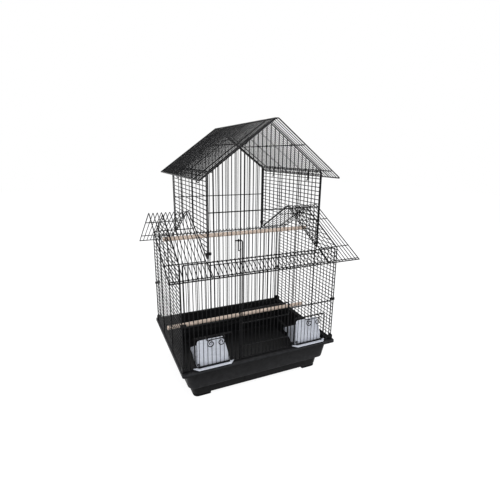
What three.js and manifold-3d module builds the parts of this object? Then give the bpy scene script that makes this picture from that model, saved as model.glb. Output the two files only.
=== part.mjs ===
// Pagoda bird cage: a black wire cage with a broad lower room, a narrower tower above it and a
// gable roof on each, standing in a deep plastic pan. Millimetres, +Z up, the front faces -Y and
// the origin is the middle of the footprint, level with the soles of the pan's feet.

import * as THREE from 'three';
import { mergeVertices } from 'three/addons/utils/BufferGeometryUtils.js';
import Module from 'manifold-3d';

const wasm = await Module();
wasm.setup();

// Clearances and wires
const gap = 0.3;
const weld = 0.2;
const mergeTolerance = 0.0001;
const infillWire = 2;
const crossWire = 2.6;
const levelWire = 3.2;
const frameWire = infillWire + 2 * (gap + weld);
const postWire = frameWire - weld;
const headerWire = postWire - weld;
const crossOffset = (frameWire + crossWire) / 2 - weld;
const levelOffset = (frameWire + levelWire) / 2 - weld;

// Plan of the cage
const wirePitch = 11.2;
const baseHalfCount = 19.5;
const towerHalfCount = 13.5;
const cageDepth = 336;
const baseCornerStep = 7.5;
const towerCornerStep = 5.8;

// Heights above the rim of the pan
const shoulderHeight = 283;
const towerEaveHeight = 493.4;
const towerCrossHeight = 403;
const baseCrossHeight = 122;
const sideWirePitch = 11;
const sidePostShare = 1 / 3;

// Roofs
const lowerSlope = THREE.MathUtils.degToRad(29.4);
const lowerEaveOverhang = 53;
const lowerSideOverhang = 36;
const upperSlope = THREE.MathUtils.degToRad(36.6);
const upperEaveOverhang = 28;
const upperGableOverhang = 40;
const eaveDoubling = 7.6;
const lowerCrossShare = 0.285;
const skirtCrossOut = 13;
const upperCrossShare = 0.41;

// Pan
const panHeight = 100;
const rimBesideWires = 6.1;
const rimBeforeWires = 13.5;
const rimEdgeHeight = 9;
const rimCorner = 5;
const panWall = 2.5;
const panWallInset = 12.5;
const panWallTaper = 9;
const panLedgeDrop = 62;
const panLedge = 10;
const panLowerTaper = 5;
const panCorner = 18;
const footHeight = 7;
const footLength = 48;
const footInset = 1.5;
const footCorner = 16;

// Front lift door
const doorHalfCount = 6.5;
const doorOpeningHeight = 143;
const doorRodWire = 3.4;
const doorRodCount = 6.3;
const doorRodOverShoulder = 50;
const doorHandleLength = 20;
const doorHandleBend = 6;
const doorCrossShares = [0.25, 0.75];
const loopWire = 2;
const loopInset = 6;
const hookWire = 2.2;
const hookShank = 20;
const hookCurl = 3.2;
const hookFromRod = 10.5;

// Feeder doors and cups
const feederInnerCount = 8.5;
const feederOuterCount = 17.5;
const feederOpeningHeight = 88;
const pullStandOff = 16;
const pullWire = 2.4;
const pullWidth = 50;
const pullRise = 1;
const scrollRadius = 9;
const scrollEyeShare = 0.3;
const scrollTurns = 1.4;
const cupSideRoom = 6.4;
const cupDepth = 26;
const cupBackReach = 50;
const cupWall = 2;
const cupPlateHeight = 77;
const cupSmallCorner = 8;
const cupShoulderDrop = 73;
const cupShoulderWidth = 20;
const cupCheekHeight = 66;
const cupLowCheekHeight = 27;
const cupLowCheekInset = 8;
const cupSlantShare = 0.33;
const cupSlantDropShare = 0.44;
const cupBackHeight = 24;
const cupLedge = 18;
const cupLedgeDepth = 8;
const cupLip = 13;
const cupLipTaper = 12;
const cupLipWidth = 112;
const cupLipThickness = 2.5;

// Perches
const perchDiameter = 12;
const upperPerchCount = 28;
const lowerPerchCount = 4;
const perchBeyondWires = 3;

// Clips and hooks
const clipWall = 1.6;
const clipHeight = 6;
const midClipCount = 11;
const cornerStopLength = 16;
const cornerStopHeight = 12;
const cornerStopWall = 2.2;
const roofHookReach = 22;
const roofHookToeShare = 0.39;
const roofHookWidth = 4;
const roofHookWall = 2.4;
const roofHookToeLength = 7;
const roofHookShare = 0.6;

// Materials
const wireBlack = new THREE.MeshStandardMaterial({ color: 0x17171a, roughness: 0.42, metalness: 0.45 });
const panBlack = new THREE.MeshStandardMaterial({ color: 0x1b1c1e, roughness: 0.62, metalness: 0 });
const clipBlack = new THREE.MeshStandardMaterial({ color: 0x121214, roughness: 0.5, metalness: 0 });
const cupWhite = new THREE.MeshStandardMaterial({ color: 0xdfe3ea, roughness: 0.35, metalness: 0 });
const perchWood = new THREE.MeshStandardMaterial({ color: 0xd9bfa0, roughness: 0.75, metalness: 0 });

// Sizes that follow from the ones above
const baseHalfWidth = baseHalfCount * wirePitch;
const towerHalfWidth = towerHalfCount * wirePitch;
const baseSide = baseHalfWidth + baseCornerStep;
const towerSide = towerHalfWidth + towerCornerStep;
const wallFace = cageDepth / 2;
const rimTop = panHeight;
const sillCentre = rimTop + gap + frameWire / 2;
const shoulder = rimTop + shoulderHeight;
const towerEave = rimTop + towerEaveHeight;
const towerSill = shoulder + frameWire + gap;
const doorFace = wallFace + frameWire + gap;
const lowerRun = wallFace + lowerEaveOverhang;
const upperRun = towerSide + upperEaveOverhang;
const upperHalfLength = wallFace + upperGableOverhang;
const tilted = (size, slope) => (size / 2) * (Math.cos(slope) + Math.sin(slope));

// A roof lies on the wall's top rail through the cross wire under its slope wires
function ridgeOver(rail, reach, slope) {
  const crossCentre = rail + frameWire / 2 + gap + tilted(crossWire, slope);
  return crossCentre + (reach + crossOffset * Math.sin(slope)) * Math.tan(slope)
    + crossOffset * Math.cos(slope);
}
const lowerRidge = ridgeOver(shoulder, wallFace, lowerSlope);
const upperRidge = ridgeOver(towerEave, towerSide, upperSlope);

// The height of a gable rail that runs under a roof's cross wires, at a distance from the ridge
function underRoof(ridge, slope, reach) {
  const below = crossOffset + crossWire / 2 + gap + frameWire / 2;
  return ridge - below / Math.cos(slope) - reach * Math.tan(slope);
}

// Closed solids from three.js geometries, and back
function toSolid(geometry) {
  const bare = geometry.clone();
  bare.deleteAttribute('normal');
  bare.deleteAttribute('uv');
  const merged = mergeVertices(bare, mergeTolerance);
  return new wasm.Manifold(new wasm.Mesh({
    numProp: 3,
    vertProperties: merged.attributes.position.array,
    triVerts: Uint32Array.from(merged.index.array),
  }));
}

function toGeometry(solid) {
  const mesh = solid.getMesh();
  const geometry = new THREE.BufferGeometry();
  geometry.setAttribute('position', new THREE.BufferAttribute(mesh.vertProperties, 3));
  geometry.setIndex(new THREE.BufferAttribute(mesh.triVerts, 1));
  geometry.computeVertexNormals();
  return geometry;
}

function join(geometries) {
  return toGeometry(geometries.map(toSolid).reduce((all, next) => all.add(next)));
}

function cut(geometry, cutters) {
  return toGeometry(cutters.map(toSolid).reduce((rest, next) => rest.subtract(next), toSolid(geometry)));
}

// A square bar between two points of a panel's own plane, raised off that plane by rise
function bar(from, to, size, rise = 0) {
  const along = to.clone().sub(from);
  const box = new THREE.BoxGeometry(along.length(), size, size);
  box.rotateZ(Math.atan2(along.y, along.x));
  const middle = from.clone().add(to).multiplyScalar(0.5);
  return box.translate(middle.x, middle.y, rise);
}

const at = (u, v) => new THREE.Vector2(u, v);

// The outline of a panel moved sideways by a distance, with mitred corners; outwards is positive
function offsetOutline(points, distance) {
  return points.map((point, i) => {
    const before = points[(i + points.length - 1) % points.length];
    const after = points[(i + 1) % points.length];
    const a = point.clone().sub(before).normalize();
    const b = after.clone().sub(point).normalize();
    const normal = at(a.y + b.y, -a.x - b.x).normalize();
    const mitre = distance / (normal.x * a.y - normal.y * a.x);
    return point.clone().addScaledVector(normal, mitre);
  });
}

// A closed rail of square wire along an outline that runs anticlockwise
function rail(outline) {
  const shape = new THREE.Shape(offsetOutline(outline, frameWire / 2));
  shape.holes.push(new THREE.Path(offsetOutline(outline, -frameWire / 2)));
  const loop = new THREE.ExtrudeGeometry(shape, { depth: frameWire, bevelEnabled: false });
  return loop.translate(0, 0, -frameWire / 2);
}

// Multiples of the wire pitch, shifted by a share of it, that lie well inside two limits
function pitches(low, high, shiftShare) {
  const places = [];
  const first = Math.ceil(low / wirePitch - shiftShare);
  for (let k = first; (k + shiftShare) * wirePitch < high; k += 1) {
    const place = (k + shiftShare) * wirePitch;
    if (place > low + wirePitch / 2 && place < high - wirePitch / 2) places.push(place);
  }
  return places;
}

// Places spread evenly between two limits, as near to a pitch as a whole number of steps allows
function evenly(low, high, pitch) {
  const steps = Math.round((high - low) / pitch);
  return Array.from({ length: steps - 1 }, (_, i) => low + ((i + 1) * (high - low)) / steps);
}

// Heights of the level wires of the side walls, counted from the sill
const sideLevel = (count) => sillCentre + count * sideWirePitch;

const cage = new THREE.Group();

function place(name, geometry, material) {
  const mesh = new THREE.Mesh(geometry, material);
  mesh.name = name;
  return mesh;
}

// Turns a piece that is built for the front of the cage to another side
function turn(mesh, angle) {
  const group = new THREE.Group();
  group.rotation.z = angle;
  group.add(mesh);
  cage.add(group);
}

const front = 0;
const back = Math.PI;
const left = -Math.PI / 2;
const right = Math.PI / 2;

// A wall panel stands upright at a distance from the middle, its own y pointing up
function stand(name, geometry, side, distance) {
  const mesh = place(name, geometry, wireBlack);
  mesh.rotation.x = Math.PI / 2;
  mesh.position.y = -distance;
  turn(mesh, side);
}

// A roof panel hangs down its slope from the ridge, its own y pointing up the slope
function lean(name, geometry, side, slope, ridge) {
  const mesh = place(name, geometry, wireBlack);
  mesh.rotation.x = slope;
  mesh.position.z = ridge;
  turn(mesh, side);
}

// Base walls. The front has the door opening in its middle and a feeder opening on each side.
const doorPost = doorHalfCount * wirePitch;
const feederInner = feederInnerCount * wirePitch;
const feederOuter = feederOuterCount * wirePitch;
const feederCentre = (feederInner + feederOuter) / 2;
const cupWidth = feederOuter - feederInner - 2 * cupSideRoom;
const doorHeader = rimTop + doorOpeningHeight;
const feederHeader = rimTop + feederOpeningHeight;
const baseOutline = [
  at(-baseHalfWidth, sillCentre), at(baseHalfWidth, sillCentre),
  at(baseHalfWidth, shoulder), at(-baseHalfWidth, shoulder),
];

function baseFrontPanel() {
  const pieces = [rail(baseOutline)];
  const posts = [doorPost, feederInner, feederOuter];
  for (const sign of [-1, 1]) {
    for (const post of posts) {
      pieces.push(bar(at(sign * post, sillCentre), at(sign * post, shoulder), postWire));
    }
    pieces.push(bar(at(sign * feederInner, feederHeader), at(sign * feederOuter, feederHeader), headerWire));
    const level = rimTop + baseCrossHeight;
    pieces.push(bar(at(sign * doorPost, level), at(sign * baseHalfWidth, level), levelWire, -levelOffset));
  }
  pieces.push(bar(at(-doorPost, doorHeader), at(doorPost, doorHeader), headerWire));
  for (const u of pitches(-baseHalfWidth, baseHalfWidth, 0.5)) {
    const reach = Math.abs(u);
    if (posts.some((post) => Math.abs(post - reach) < wirePitch / 2)) continue;
    let foot = sillCentre;
    if (reach < doorPost) foot = doorHeader;
    if (reach > feederInner && reach < feederOuter) foot = feederHeader;
    pieces.push(bar(at(u, foot), at(u, shoulder), infillWire));
  }
  return join(pieces);
}

function baseBackPanel() {
  const pieces = [rail(baseOutline)];
  for (const u of pitches(-baseHalfWidth, baseHalfWidth, 0.5)) {
    const stout = Math.abs(Math.abs(u) - towerHalfWidth) < wirePitch / 2;
    pieces.push(bar(at(u, sillCentre), at(u, shoulder), stout ? postWire : infillWire));
  }
  return join(pieces);
}

// Side walls have level wires, and two stout posts on their outer face
function baseSidePanel() {
  const peak = underRoof(lowerRidge, lowerSlope, 0);
  const corner = underRoof(lowerRidge, lowerSlope, wallFace);
  const outline = [
    at(-wallFace, sillCentre), at(wallFace, sillCentre), at(wallFace, corner),
    at(0, peak), at(-wallFace, corner),
  ];
  const pieces = [rail(outline)];
  for (let count = 1; sideLevel(count) < peak - sideWirePitch / 2; count += 1) {
    const v = sideLevel(count);
    const reach = v < corner ? wallFace : (wallFace * (peak - v)) / (peak - corner);
    const stout = count === midClipCount;
    pieces.push(bar(at(-reach, v), at(reach, v), stout ? postWire : infillWire));
  }
  const post = wallFace * sidePostShare;
  const postTop = peak - (post * (peak - corner)) / wallFace;
  for (const u of [-post, post]) {
    pieces.push(bar(at(u, sillCentre), at(u, postTop), crossWire, crossOffset));
  }
  return join(pieces);
}

stand('base_front_panel', baseFrontPanel(), front, wallFace);
stand('base_back_panel', baseBackPanel(), back, wallFace);
stand('base_left_panel', baseSidePanel(), left, baseSide);
stand('base_right_panel', baseSidePanel(), right, baseSide);

// Tower walls: upright wires under a gable front and back, level wires over the lower roof
function towerGablePanel() {
  const peak = underRoof(upperRidge, upperSlope, 0);
  const corner = underRoof(upperRidge, upperSlope, towerHalfWidth);
  const outline = [
    at(-towerHalfWidth, towerSill), at(towerHalfWidth, towerSill), at(towerHalfWidth, corner),
    at(0, peak), at(-towerHalfWidth, corner),
  ];
  const pieces = [rail(outline)];
  for (const u of pitches(-towerHalfWidth, towerHalfWidth, 0.5)) {
    const top = peak - (Math.abs(u) * (peak - corner)) / towerHalfWidth;
    pieces.push(bar(at(u, towerSill), at(u, top), infillWire));
  }
  const level = rimTop + towerCrossHeight;
  pieces.push(bar(at(-towerHalfWidth, level), at(towerHalfWidth, level), crossWire, crossOffset));
  return join(pieces);
}

const towerFoot = lowerRidge - wallFace * Math.tan(lowerSlope);

function towerSidePanel() {
  const outline = [
    at(-wallFace, towerEave), at(-wallFace, towerFoot), at(0, lowerRidge),
    at(wallFace, towerFoot), at(wallFace, towerEave),
  ];
  const pieces = [rail(outline)];
  for (let count = 0; sideLevel(count) < towerEave - sideWirePitch / 2; count += 1) {
    const v = sideLevel(count);
    if (v < towerFoot + sideWirePitch / 2) continue;
    if (v > lowerRidge + frameWire) {
      pieces.push(bar(at(-wallFace, v), at(wallFace, v), infillWire));
    } else {
      const reach = Math.max((lowerRidge - v) / Math.tan(lowerSlope), frameWire);
      pieces.push(bar(at(-wallFace, v), at(-reach, v), infillWire));
      pieces.push(bar(at(reach, v), at(wallFace, v), infillWire));
    }
  }
  const post = wallFace * sidePostShare;
  const postFoot = lowerRidge - post * Math.tan(lowerSlope);
  for (const u of [-post, post]) {
    pieces.push(bar(at(u, postFoot), at(u, towerEave), crossWire, crossOffset));
  }
  return join(pieces);
}

stand('tower_front_panel', towerGablePanel(), front, wallFace);
stand('tower_back_panel', towerGablePanel(), back, wallFace);
stand('tower_left_panel', towerSidePanel(), left, towerSide);
stand('tower_right_panel', towerSidePanel(), right, towerSide);

// Lower roof: a bay of bent wires on each side of the tower, and a skirt before and behind it
// Where a cross wire under a slope lies straight above a wall, along the slope from the ridge
const overWall = (reach, slope) => (reach + crossOffset * Math.sin(slope)) / Math.cos(slope);

const lowerFoot = -lowerRun / Math.cos(lowerSlope);
const postFace = crossOffset + crossWire / 2;
const lowerInner = towerSide + postFace + gap + frameWire / 2;
const lowerOuter = baseSide + lowerSideOverhang;
const lowerCrosses = [
  lowerFoot * lowerCrossShare,
  -overWall(wallFace, lowerSlope),
  lowerFoot + eaveDoubling,
];

// A wire of a side bay runs up the front slope, over the ridge and down the back slope
function bentWire(x, size) {
  const eave = lowerRidge - lowerRun * Math.tan(lowerSlope);
  const out = (size / 2) * Math.sin(lowerSlope);
  const up = (size / 2) * Math.cos(lowerSlope);
  const crown = size / 2 / Math.cos(lowerSlope);
  const outline = new THREE.Shape([
    at(out - lowerRun, eave - up), at(0, lowerRidge - crown), at(lowerRun - out, eave - up),
    at(lowerRun + out, eave + up), at(0, lowerRidge + crown), at(-lowerRun - out, eave + up),
  ]);
  const wire = new THREE.ExtrudeGeometry(outline, { depth: size, bevelEnabled: false });
  return wire.translate(0, 0, x - size / 2).rotateX(Math.PI / 2).rotateZ(Math.PI / 2);
}

// A level wire of a bay lies on the front slope and again on the back slope
function slopeBars(low, high, v, size, rise = 0) {
  return [[front, 1], [back, -1]].map(([side, sign]) => {
    const wire = bar(at(sign * low, v), at(sign * high, v), size, rise);
    return wire.rotateX(lowerSlope).translate(0, 0, lowerRidge).rotateZ(side);
  });
}

function lowerBay(low, high) {
  const end = frameWire / 2;
  return join([
    bentWire(low, postWire), bentWire(high, postWire),
    ...evenly(low, high, wirePitch).map((x) => bentWire(x, infillWire)),
    ...slopeBars(low - end, high + end, lowerFoot, frameWire),
    ...lowerCrosses.flatMap((v) => slopeBars(low, high, v, crossWire, -crossOffset)),
  ]);
}

cage.add(place('lower_roof_left', lowerBay(-lowerOuter, -lowerInner), wireBlack));
cage.add(place('lower_roof_right', lowerBay(lowerInner, lowerOuter), wireBlack));

// The skirt's wires start close before the tower's sill, and its eave lines up with the bays'
function skirt() {
  const top = -(wallFace + frameWire / 2 + gap + tilted(postWire, lowerSlope)) / Math.cos(lowerSlope);
  const upperCross = -overWall(wallFace + skirtCrossOut, lowerSlope);
  const half = lowerInner - frameWire - gap;
  const end = half + frameWire / 2;
  const pieces = [bar(at(-end, lowerFoot), at(end, lowerFoot), frameWire)];
  for (const u of [-half, half]) pieces.push(bar(at(u, lowerFoot), at(u, top), postWire));
  for (const u of pitches(-half, half, 0)) pieces.push(bar(at(u, lowerFoot), at(u, top), infillWire));
  for (const v of [upperCross, lowerFoot + eaveDoubling]) {
    pieces.push(bar(at(-half, v), at(half, v), crossWire, -crossOffset));
  }
  return join(pieces);
}

lean('front_skirt_roof', skirt(), front, lowerSlope, lowerRidge);
lean('back_skirt_roof', skirt(), back, lowerSlope, lowerRidge);

// Upper roof: two framed slopes whose top rails meet at the ridge, with cross wires under them
function upperSlopePanel() {
  const low = -upperHalfLength;
  const high = upperHalfLength;
  const foot = -upperRun / Math.cos(upperSlope);
  const meeting = (gap / 2 + (frameWire / 2) * Math.sin(upperSlope)) / Math.cos(upperSlope);
  const top = -(frameWire / 2 + meeting);
  const pieces = [rail([at(low, foot), at(high, foot), at(high, top), at(low, top)])];
  const post = wallFace * sidePostShare;
  const wires = evenly(low, high, wirePitch);
  const nearest = (target) => wires.reduce((a, b) => (Math.abs(b - target) < Math.abs(a - target) ? b : a));
  const stout = [-wallFace, -post, post, wallFace].map(nearest);
  for (const u of wires) {
    pieces.push(bar(at(u, foot), at(u, top), stout.includes(u) ? postWire : infillWire));
  }
  for (const v of [foot * upperCrossShare, -overWall(towerSide, upperSlope)]) {
    pieces.push(bar(at(low, v), at(high, v), crossWire, -crossOffset));
  }
  return join(pieces);
}

lean('upper_roof_left', upperSlopePanel(), left, upperSlope, upperRidge);
lean('upper_roof_right', upperSlopePanel(), right, upperSlope, upperRidge);

// Pan: one thin stepped shell with a flat rim, lofted through rounded rectangles
const cornerSteps = 5;

function roundedRectangle(halfX, halfY, radius) {
  const points = [];
  const corners = [[1, 1], [-1, 1], [-1, -1], [1, -1]];
  corners.forEach(([sx, sy], quarter) => {
    for (let i = 0; i <= cornerSteps; i += 1) {
      const angle = (quarter + i / cornerSteps) * (Math.PI / 2);
      points.push(at(sx * (halfX - radius) + radius * Math.cos(angle),
        sy * (halfY - radius) + radius * Math.sin(angle)));
    }
  });
  return points;
}

// Joins rings of equal count by bands and closes the first and last ring with a fan
function loft(rings) {
  const count = rings[0].points.length;
  const positions = rings.flatMap(({ points, z }) => points.flatMap((p) => [p.x, p.y, z]));
  const index = [];
  for (let r = 0; r + 1 < rings.length; r += 1) {
    for (let i = 0; i < count; i += 1) {
      const a = r * count + i;
      const b = r * count + ((i + 1) % count);
      index.push(a, b, b + count, a, b + count, a + count);
    }
  }
  const last = (rings.length - 1) * count;
  for (let i = 1; i + 1 < count; i += 1) {
    index.push(0, i + 1, i);
    index.push(last, last + i, last + i + 1);
  }
  const geometry = new THREE.BufferGeometry();
  geometry.setAttribute('position', new THREE.Float32BufferAttribute(positions, 3));
  geometry.setIndex(index);
  return geometry;
}

const rimHalfX = baseSide + rimBesideWires;
const rimHalfY = wallFace + rimBeforeWires;

function panGeometry() {
  const ring = (inset, radius, z) => ({
    points: roundedRectangle(rimHalfX - inset, rimHalfY - inset, radius), z,
  });
  const ledgeTop = panHeight - panLedgeDrop;
  const underRim = panHeight - rimEdgeHeight;
  const atRim = panWallInset;
  const atLedge = atRim + panWallTaper;
  const belowLedge = atLedge + panLedge;
  const atFloor = belowLedge + panLowerTaper;
  const shell = loft([
    ring(atFloor, panCorner, footHeight),
    ring(belowLedge, panCorner, ledgeTop),
    ring(atLedge, panCorner, ledgeTop),
    ring(atRim, panCorner, underRim),
    ring(0, rimCorner, underRim),
    ring(0, rimCorner, panHeight),
    ring(atRim + panWall, panCorner - panWall, panHeight),
    ring(atLedge + panWall, panCorner - panWall, ledgeTop + panWall),
    ring(belowLedge + panWall, panCorner - panWall, ledgeTop + panWall),
    ring(atFloor + panWall, panCorner - panWall, footHeight + panWall),
  ]);
  const pieces = [shell];
  for (const [sx, sy] of [[-1, -1], [1, -1], [1, 1], [-1, 1]]) {
    const outline = new THREE.Shape();
    outline.moveTo(0, 0);
    outline.lineTo(footLength, 0);
    outline.lineTo(footLength, footLength - footCorner);
    outline.absarc(footLength - footCorner, footLength - footCorner, footCorner, 0, Math.PI / 2, false);
    outline.lineTo(0, footLength);
    const foot = new THREE.ExtrudeGeometry(outline, {
      depth: footHeight + panWall / 2, bevelEnabled: false, curveSegments: cornerSteps,
    });
    const quarter = Math.atan2(sy, sx) - Math.PI / 4;
    foot.rotateZ(quarter);
    const reach = footLength + footInset + atFloor;
    pieces.push(foot.translate(sx * (rimHalfX - reach), sy * (rimHalfY - reach), 0));
  }
  return join(pieces);
}

cage.add(place('base_pan', panGeometry(), panBlack));

// Round wires and rods along a curve, six-sided
const wireSides = 6;

function sweep(curve, diameter, steps) {
  const section = new THREE.Shape();
  for (let i = 0; i < wireSides; i += 1) {
    const angle = (i * 2 * Math.PI) / wireSides;
    const x = (diameter / 2) * Math.cos(angle);
    const y = (diameter / 2) * Math.sin(angle);
    if (i === 0) section.moveTo(x, y);
    else section.lineTo(x, y);
  }
  return new THREE.ExtrudeGeometry(section, { steps, bevelEnabled: false, extrudePath: curve });
}

// Front lift door: a framed grille before the opening, with a long rod that ends in a handle
const lipTop = sillCentre + frameWire / 2 + gap + cupLipThickness;
const doorSill = lipTop + gap + frameWire / 2;

// A guide lies along the side of a door and reaches back round the post that the door slides on
function guideGeometry(sign) {
  const near = frameWire / 2 + gap;
  const far = near + loopWire;
  const behind = -(frameWire + gap + postWire / 2 + gap);
  const rear = behind - loopWire;
  const edge = frameWire / 2;
  const outline = [
    at(near, behind), at(-loopWire / 2, behind), at(-loopWire / 2, rear),
    at(far, rear), at(far, edge), at(near, edge),
  ];
  const shape = new THREE.Shape(outline.map((point) => at(sign * point.x, point.y)));
  const guide = new THREE.ExtrudeGeometry(shape, { depth: loopWire, bevelEnabled: false });
  return guide.rotateX(Math.PI / 2).translate(0, loopWire / 2, 0);
}

function standGuide(name, post, v, sign) {
  stand(name, guideGeometry(sign).translate(post, v, 0), front, doorFace);
}

function grilleDoor({ low, high, wires, crosses }) {
  const top = Math.max(...crosses);
  const pieces = [rail([at(low, doorSill), at(high, doorSill), at(high, top), at(low, top)])];
  for (const u of wires) pieces.push(bar(at(u, doorSill), at(u, top), infillWire));
  for (const v of crosses.filter((level) => level < top)) {
    pieces.push(bar(at(low, v), at(high, v), crossWire, crossOffset));
  }
  return join(pieces);
}

const doorCross = (share) => doorSill + share * (doorHeader - doorSill);
stand('front_door', grilleDoor({
  low: -doorPost, high: doorPost, wires: pitches(-doorPost, doorPost, 0.5),
  crosses: [...doorCrossShares.map(doorCross), doorHeader],
}), front, doorFace);
const lowGuide = doorSill + loopInset;
for (const [side, sign] of [['left', -1], ['right', 1]]) {
  standGuide(`door_guide_low_${side}`, sign * doorPost, lowGuide, sign);
  standGuide(`door_guide_high_${side}`, sign * doorPost, doorHeader - loopInset, sign);
}

const rodX = -doorRodCount * wirePitch;
const rodFace = doorFace + crossOffset + crossWire / 2 + gap + doorRodWire / 2;
const rodTop = shoulder + doorRodOverShoulder;

function liftRod() {
  const bendFoot = rodTop - doorHandleBend;
  const shaft = new THREE.CylinderGeometry(doorRodWire / 2, doorRodWire / 2,
    bendFoot + weld - doorSill, wireSides);
  shaft.rotateX(Math.PI / 2).translate(0, 0, (bendFoot + weld + doorSill) / 2);
  const handle = new THREE.CurvePath();
  handle.add(new THREE.QuadraticBezierCurve3(
    new THREE.Vector3(0, 0, bendFoot),
    new THREE.Vector3(0, 0, rodTop),
    new THREE.Vector3(-doorHandleBend, 0, rodTop)));
  handle.add(new THREE.LineCurve3(
    new THREE.Vector3(-doorHandleBend, 0, rodTop),
    new THREE.Vector3(-doorHandleLength, 0, rodTop)));
  const handleSteps = 14;
  return join([shaft, sweep(handle, doorRodWire, handleSteps)]);
}

const rod = place('door_lift_rod', liftRod(), wireBlack);
rod.position.set(rodX, -rodFace, 0);
cage.add(rod);

// The catch hangs on the handle by an eye and ends in a curl towards the rod
class Curl extends THREE.Curve {
  getPoint(t, target = new THREE.Vector3()) {
    const angle = Math.PI + t * 1.25 * Math.PI;
    return target.set(hookCurl * (1 + Math.cos(angle)), 0, hookCurl * Math.sin(angle));
  }
}

function catchHook() {
  const eye = doorRodWire / 2 + gap + hookWire / 2;
  const ring = new THREE.TorusGeometry(eye, hookWire / 2, wireSides, 2 * wireSides);
  ring.rotateY(Math.PI / 2);
  const foot = -eye - hookShank;
  const shank = new THREE.CylinderGeometry(hookWire / 2, hookWire / 2, hookShank, wireSides);
  shank.rotateX(Math.PI / 2).translate(0, 0, foot + hookShank / 2);
  const curlSteps = 9;
  const curl = sweep(new Curl(), hookWire, curlSteps).translate(0, 0, foot + weld);
  return join([ring, shank, curl]);
}

const hook = place('door_catch_hook', catchHook(), wireBlack);
hook.position.set(rodX - hookFromRod, -rodFace, rodTop);
cage.add(hook);

// Feeder doors with their scrolled pulls
class Scroll extends THREE.Curve {
  constructor(sign) {
    super();
    this.sign = sign;
  }

  getPoint(t, target = new THREE.Vector3()) {
    const radius = scrollRadius * (1 - (1 - scrollEyeShare) * t);
    const angle = Math.PI / 2 - this.sign * t * scrollTurns * 2 * Math.PI;
    return target.set(radius * Math.cos(angle), 0, radius * Math.sin(angle) - scrollRadius);
  }
}

function feederPull() {
  const barBottom = -pullWire / 2;
  const pieces = [new THREE.BoxGeometry(pullWidth, pullWire, pullWire)];
  const scrollSteps = 13;
  for (const sign of [-1, 1]) {
    const scroll = sweep(new Scroll(sign), pullWire, scrollSteps);
    const outward = sign * (pullWidth / 2 - scrollRadius - pullWire);
    pieces.push(scroll.translate(outward, 0, barBottom + weld));
    const arm = new THREE.BoxGeometry(pullWire, pullStandOff, pullWire);
    pieces.push(arm.translate(sign * (pullWidth - pullWire) / 2, pullStandOff / 2, 0));
  }
  return join(pieces);
}

for (const [side, sign] of [['left', -1], ['right', 1]]) {
  const low = sign < 0 ? -feederOuter : feederInner;
  const high = sign < 0 ? -feederInner : feederOuter;
  const wires = pitches(low, high, 0.5);
  stand(`feeder_door_${side}`, grilleDoor({ low, high, wires, crosses: [feederHeader] }), front, doorFace);
  standGuide(`feeder_guide_${side}_inner`, sign * feederInner, lowGuide, -sign);
  standGuide(`feeder_guide_${side}_outer`, sign * feederOuter, lowGuide, sign);
  const pull = place(`feeder_pull_${side}`, feederPull(), wireBlack);
  const pullFace = doorFace + frameWire / 2 + gap + pullStandOff;
  pull.position.set(sign * feederCentre, -pullFace, feederHeader + pullRise);
  cage.add(pull);
}

// Cups: a tall front plate in the opening, a low basin behind it and a lip outside over the sill
const cupFloor = sillCentre + frameWire / 2 + gap;

function cupPlate() {
  const edge = cupWidth / 2;
  const top = cupFloor + cupPlateHeight;
  const outline = new THREE.Shape();
  outline.moveTo(-edge, cupFloor);
  outline.lineTo(edge, cupFloor);
  outline.lineTo(edge, top - cupShoulderDrop);
  outline.quadraticCurveTo(
    edge - cupShoulderWidth * cupSlantShare, top - cupShoulderDrop * cupSlantDropShare,
    edge - cupShoulderWidth, top,
  );
  outline.lineTo(cupSmallCorner - edge, top);
  outline.quadraticCurveTo(-edge, top, -edge, top - cupSmallCorner);
  const plate = new THREE.ExtrudeGeometry(outline, {
    depth: cupWall, bevelEnabled: false, curveSegments: cornerSteps,
  });
  return plate.rotateX(Math.PI / 2).translate(0, cupWall, 0);
}

// A profile seen from the side, given as depth and height, swept across the cup from x
function cupSide(corners, width, x) {
  const outline = new THREE.Shape(corners.map(([depth, height]) => at(depth, height)));
  const side = new THREE.ExtrudeGeometry(outline, { depth: width, bevelEnabled: false });
  return side.rotateX(Math.PI / 2).rotateZ(Math.PI / 2).translate(x, 0, 0);
}

// A cheek slopes from the plate down to the back, where it ends in the edge of the rear ledge
function cupCheek(x, height) {
  const ledgeTop = cupFloor + cupBackHeight;
  const rear = cupBackReach + cupLedge;
  return cupSide([
    [0, cupFloor], [cupDepth, cupFloor], [cupBackReach, ledgeTop - cupLedgeDepth],
    [rear, ledgeTop - cupLedgeDepth], [rear, ledgeTop], [0, cupFloor + height],
  ], cupWall, x);
}

// The basin is one bent sheet between the cheeks: tray, rear wall that leans back, and ledge
function cupBasin() {
  const ledgeTop = cupFloor + cupBackHeight;
  const rear = cupBackReach + cupLedge - cupWall / 2;
  const fold = cupWall / 2;
  return cupSide([
    [fold, cupFloor], [cupDepth, cupFloor], [cupBackReach, ledgeTop - cupWall],
    [rear, ledgeTop - cupWall], [rear, ledgeTop], [cupBackReach - fold, ledgeTop],
    [cupDepth - fold, cupFloor + cupWall], [fold, cupFloor + cupWall],
  ], cupWidth - cupWall - cupLowCheekInset, (cupWall - cupWidth) / 2);
}

// The lip outside narrows towards its front edge
function cupLipPlate(reach) {
  const edge = cupLipWidth / 2;
  const outline = new THREE.Shape();
  outline.moveTo(-edge, -reach);
  outline.lineTo(cupLipTaper - edge, -reach - cupLip);
  outline.lineTo(edge - cupLipTaper, -reach - cupLip);
  outline.lineTo(edge, -reach);
  const lip = new THREE.ExtrudeGeometry(outline, { depth: cupLipThickness, bevelEnabled: false });
  return lip.translate(0, 0, cupFloor);
}

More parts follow.
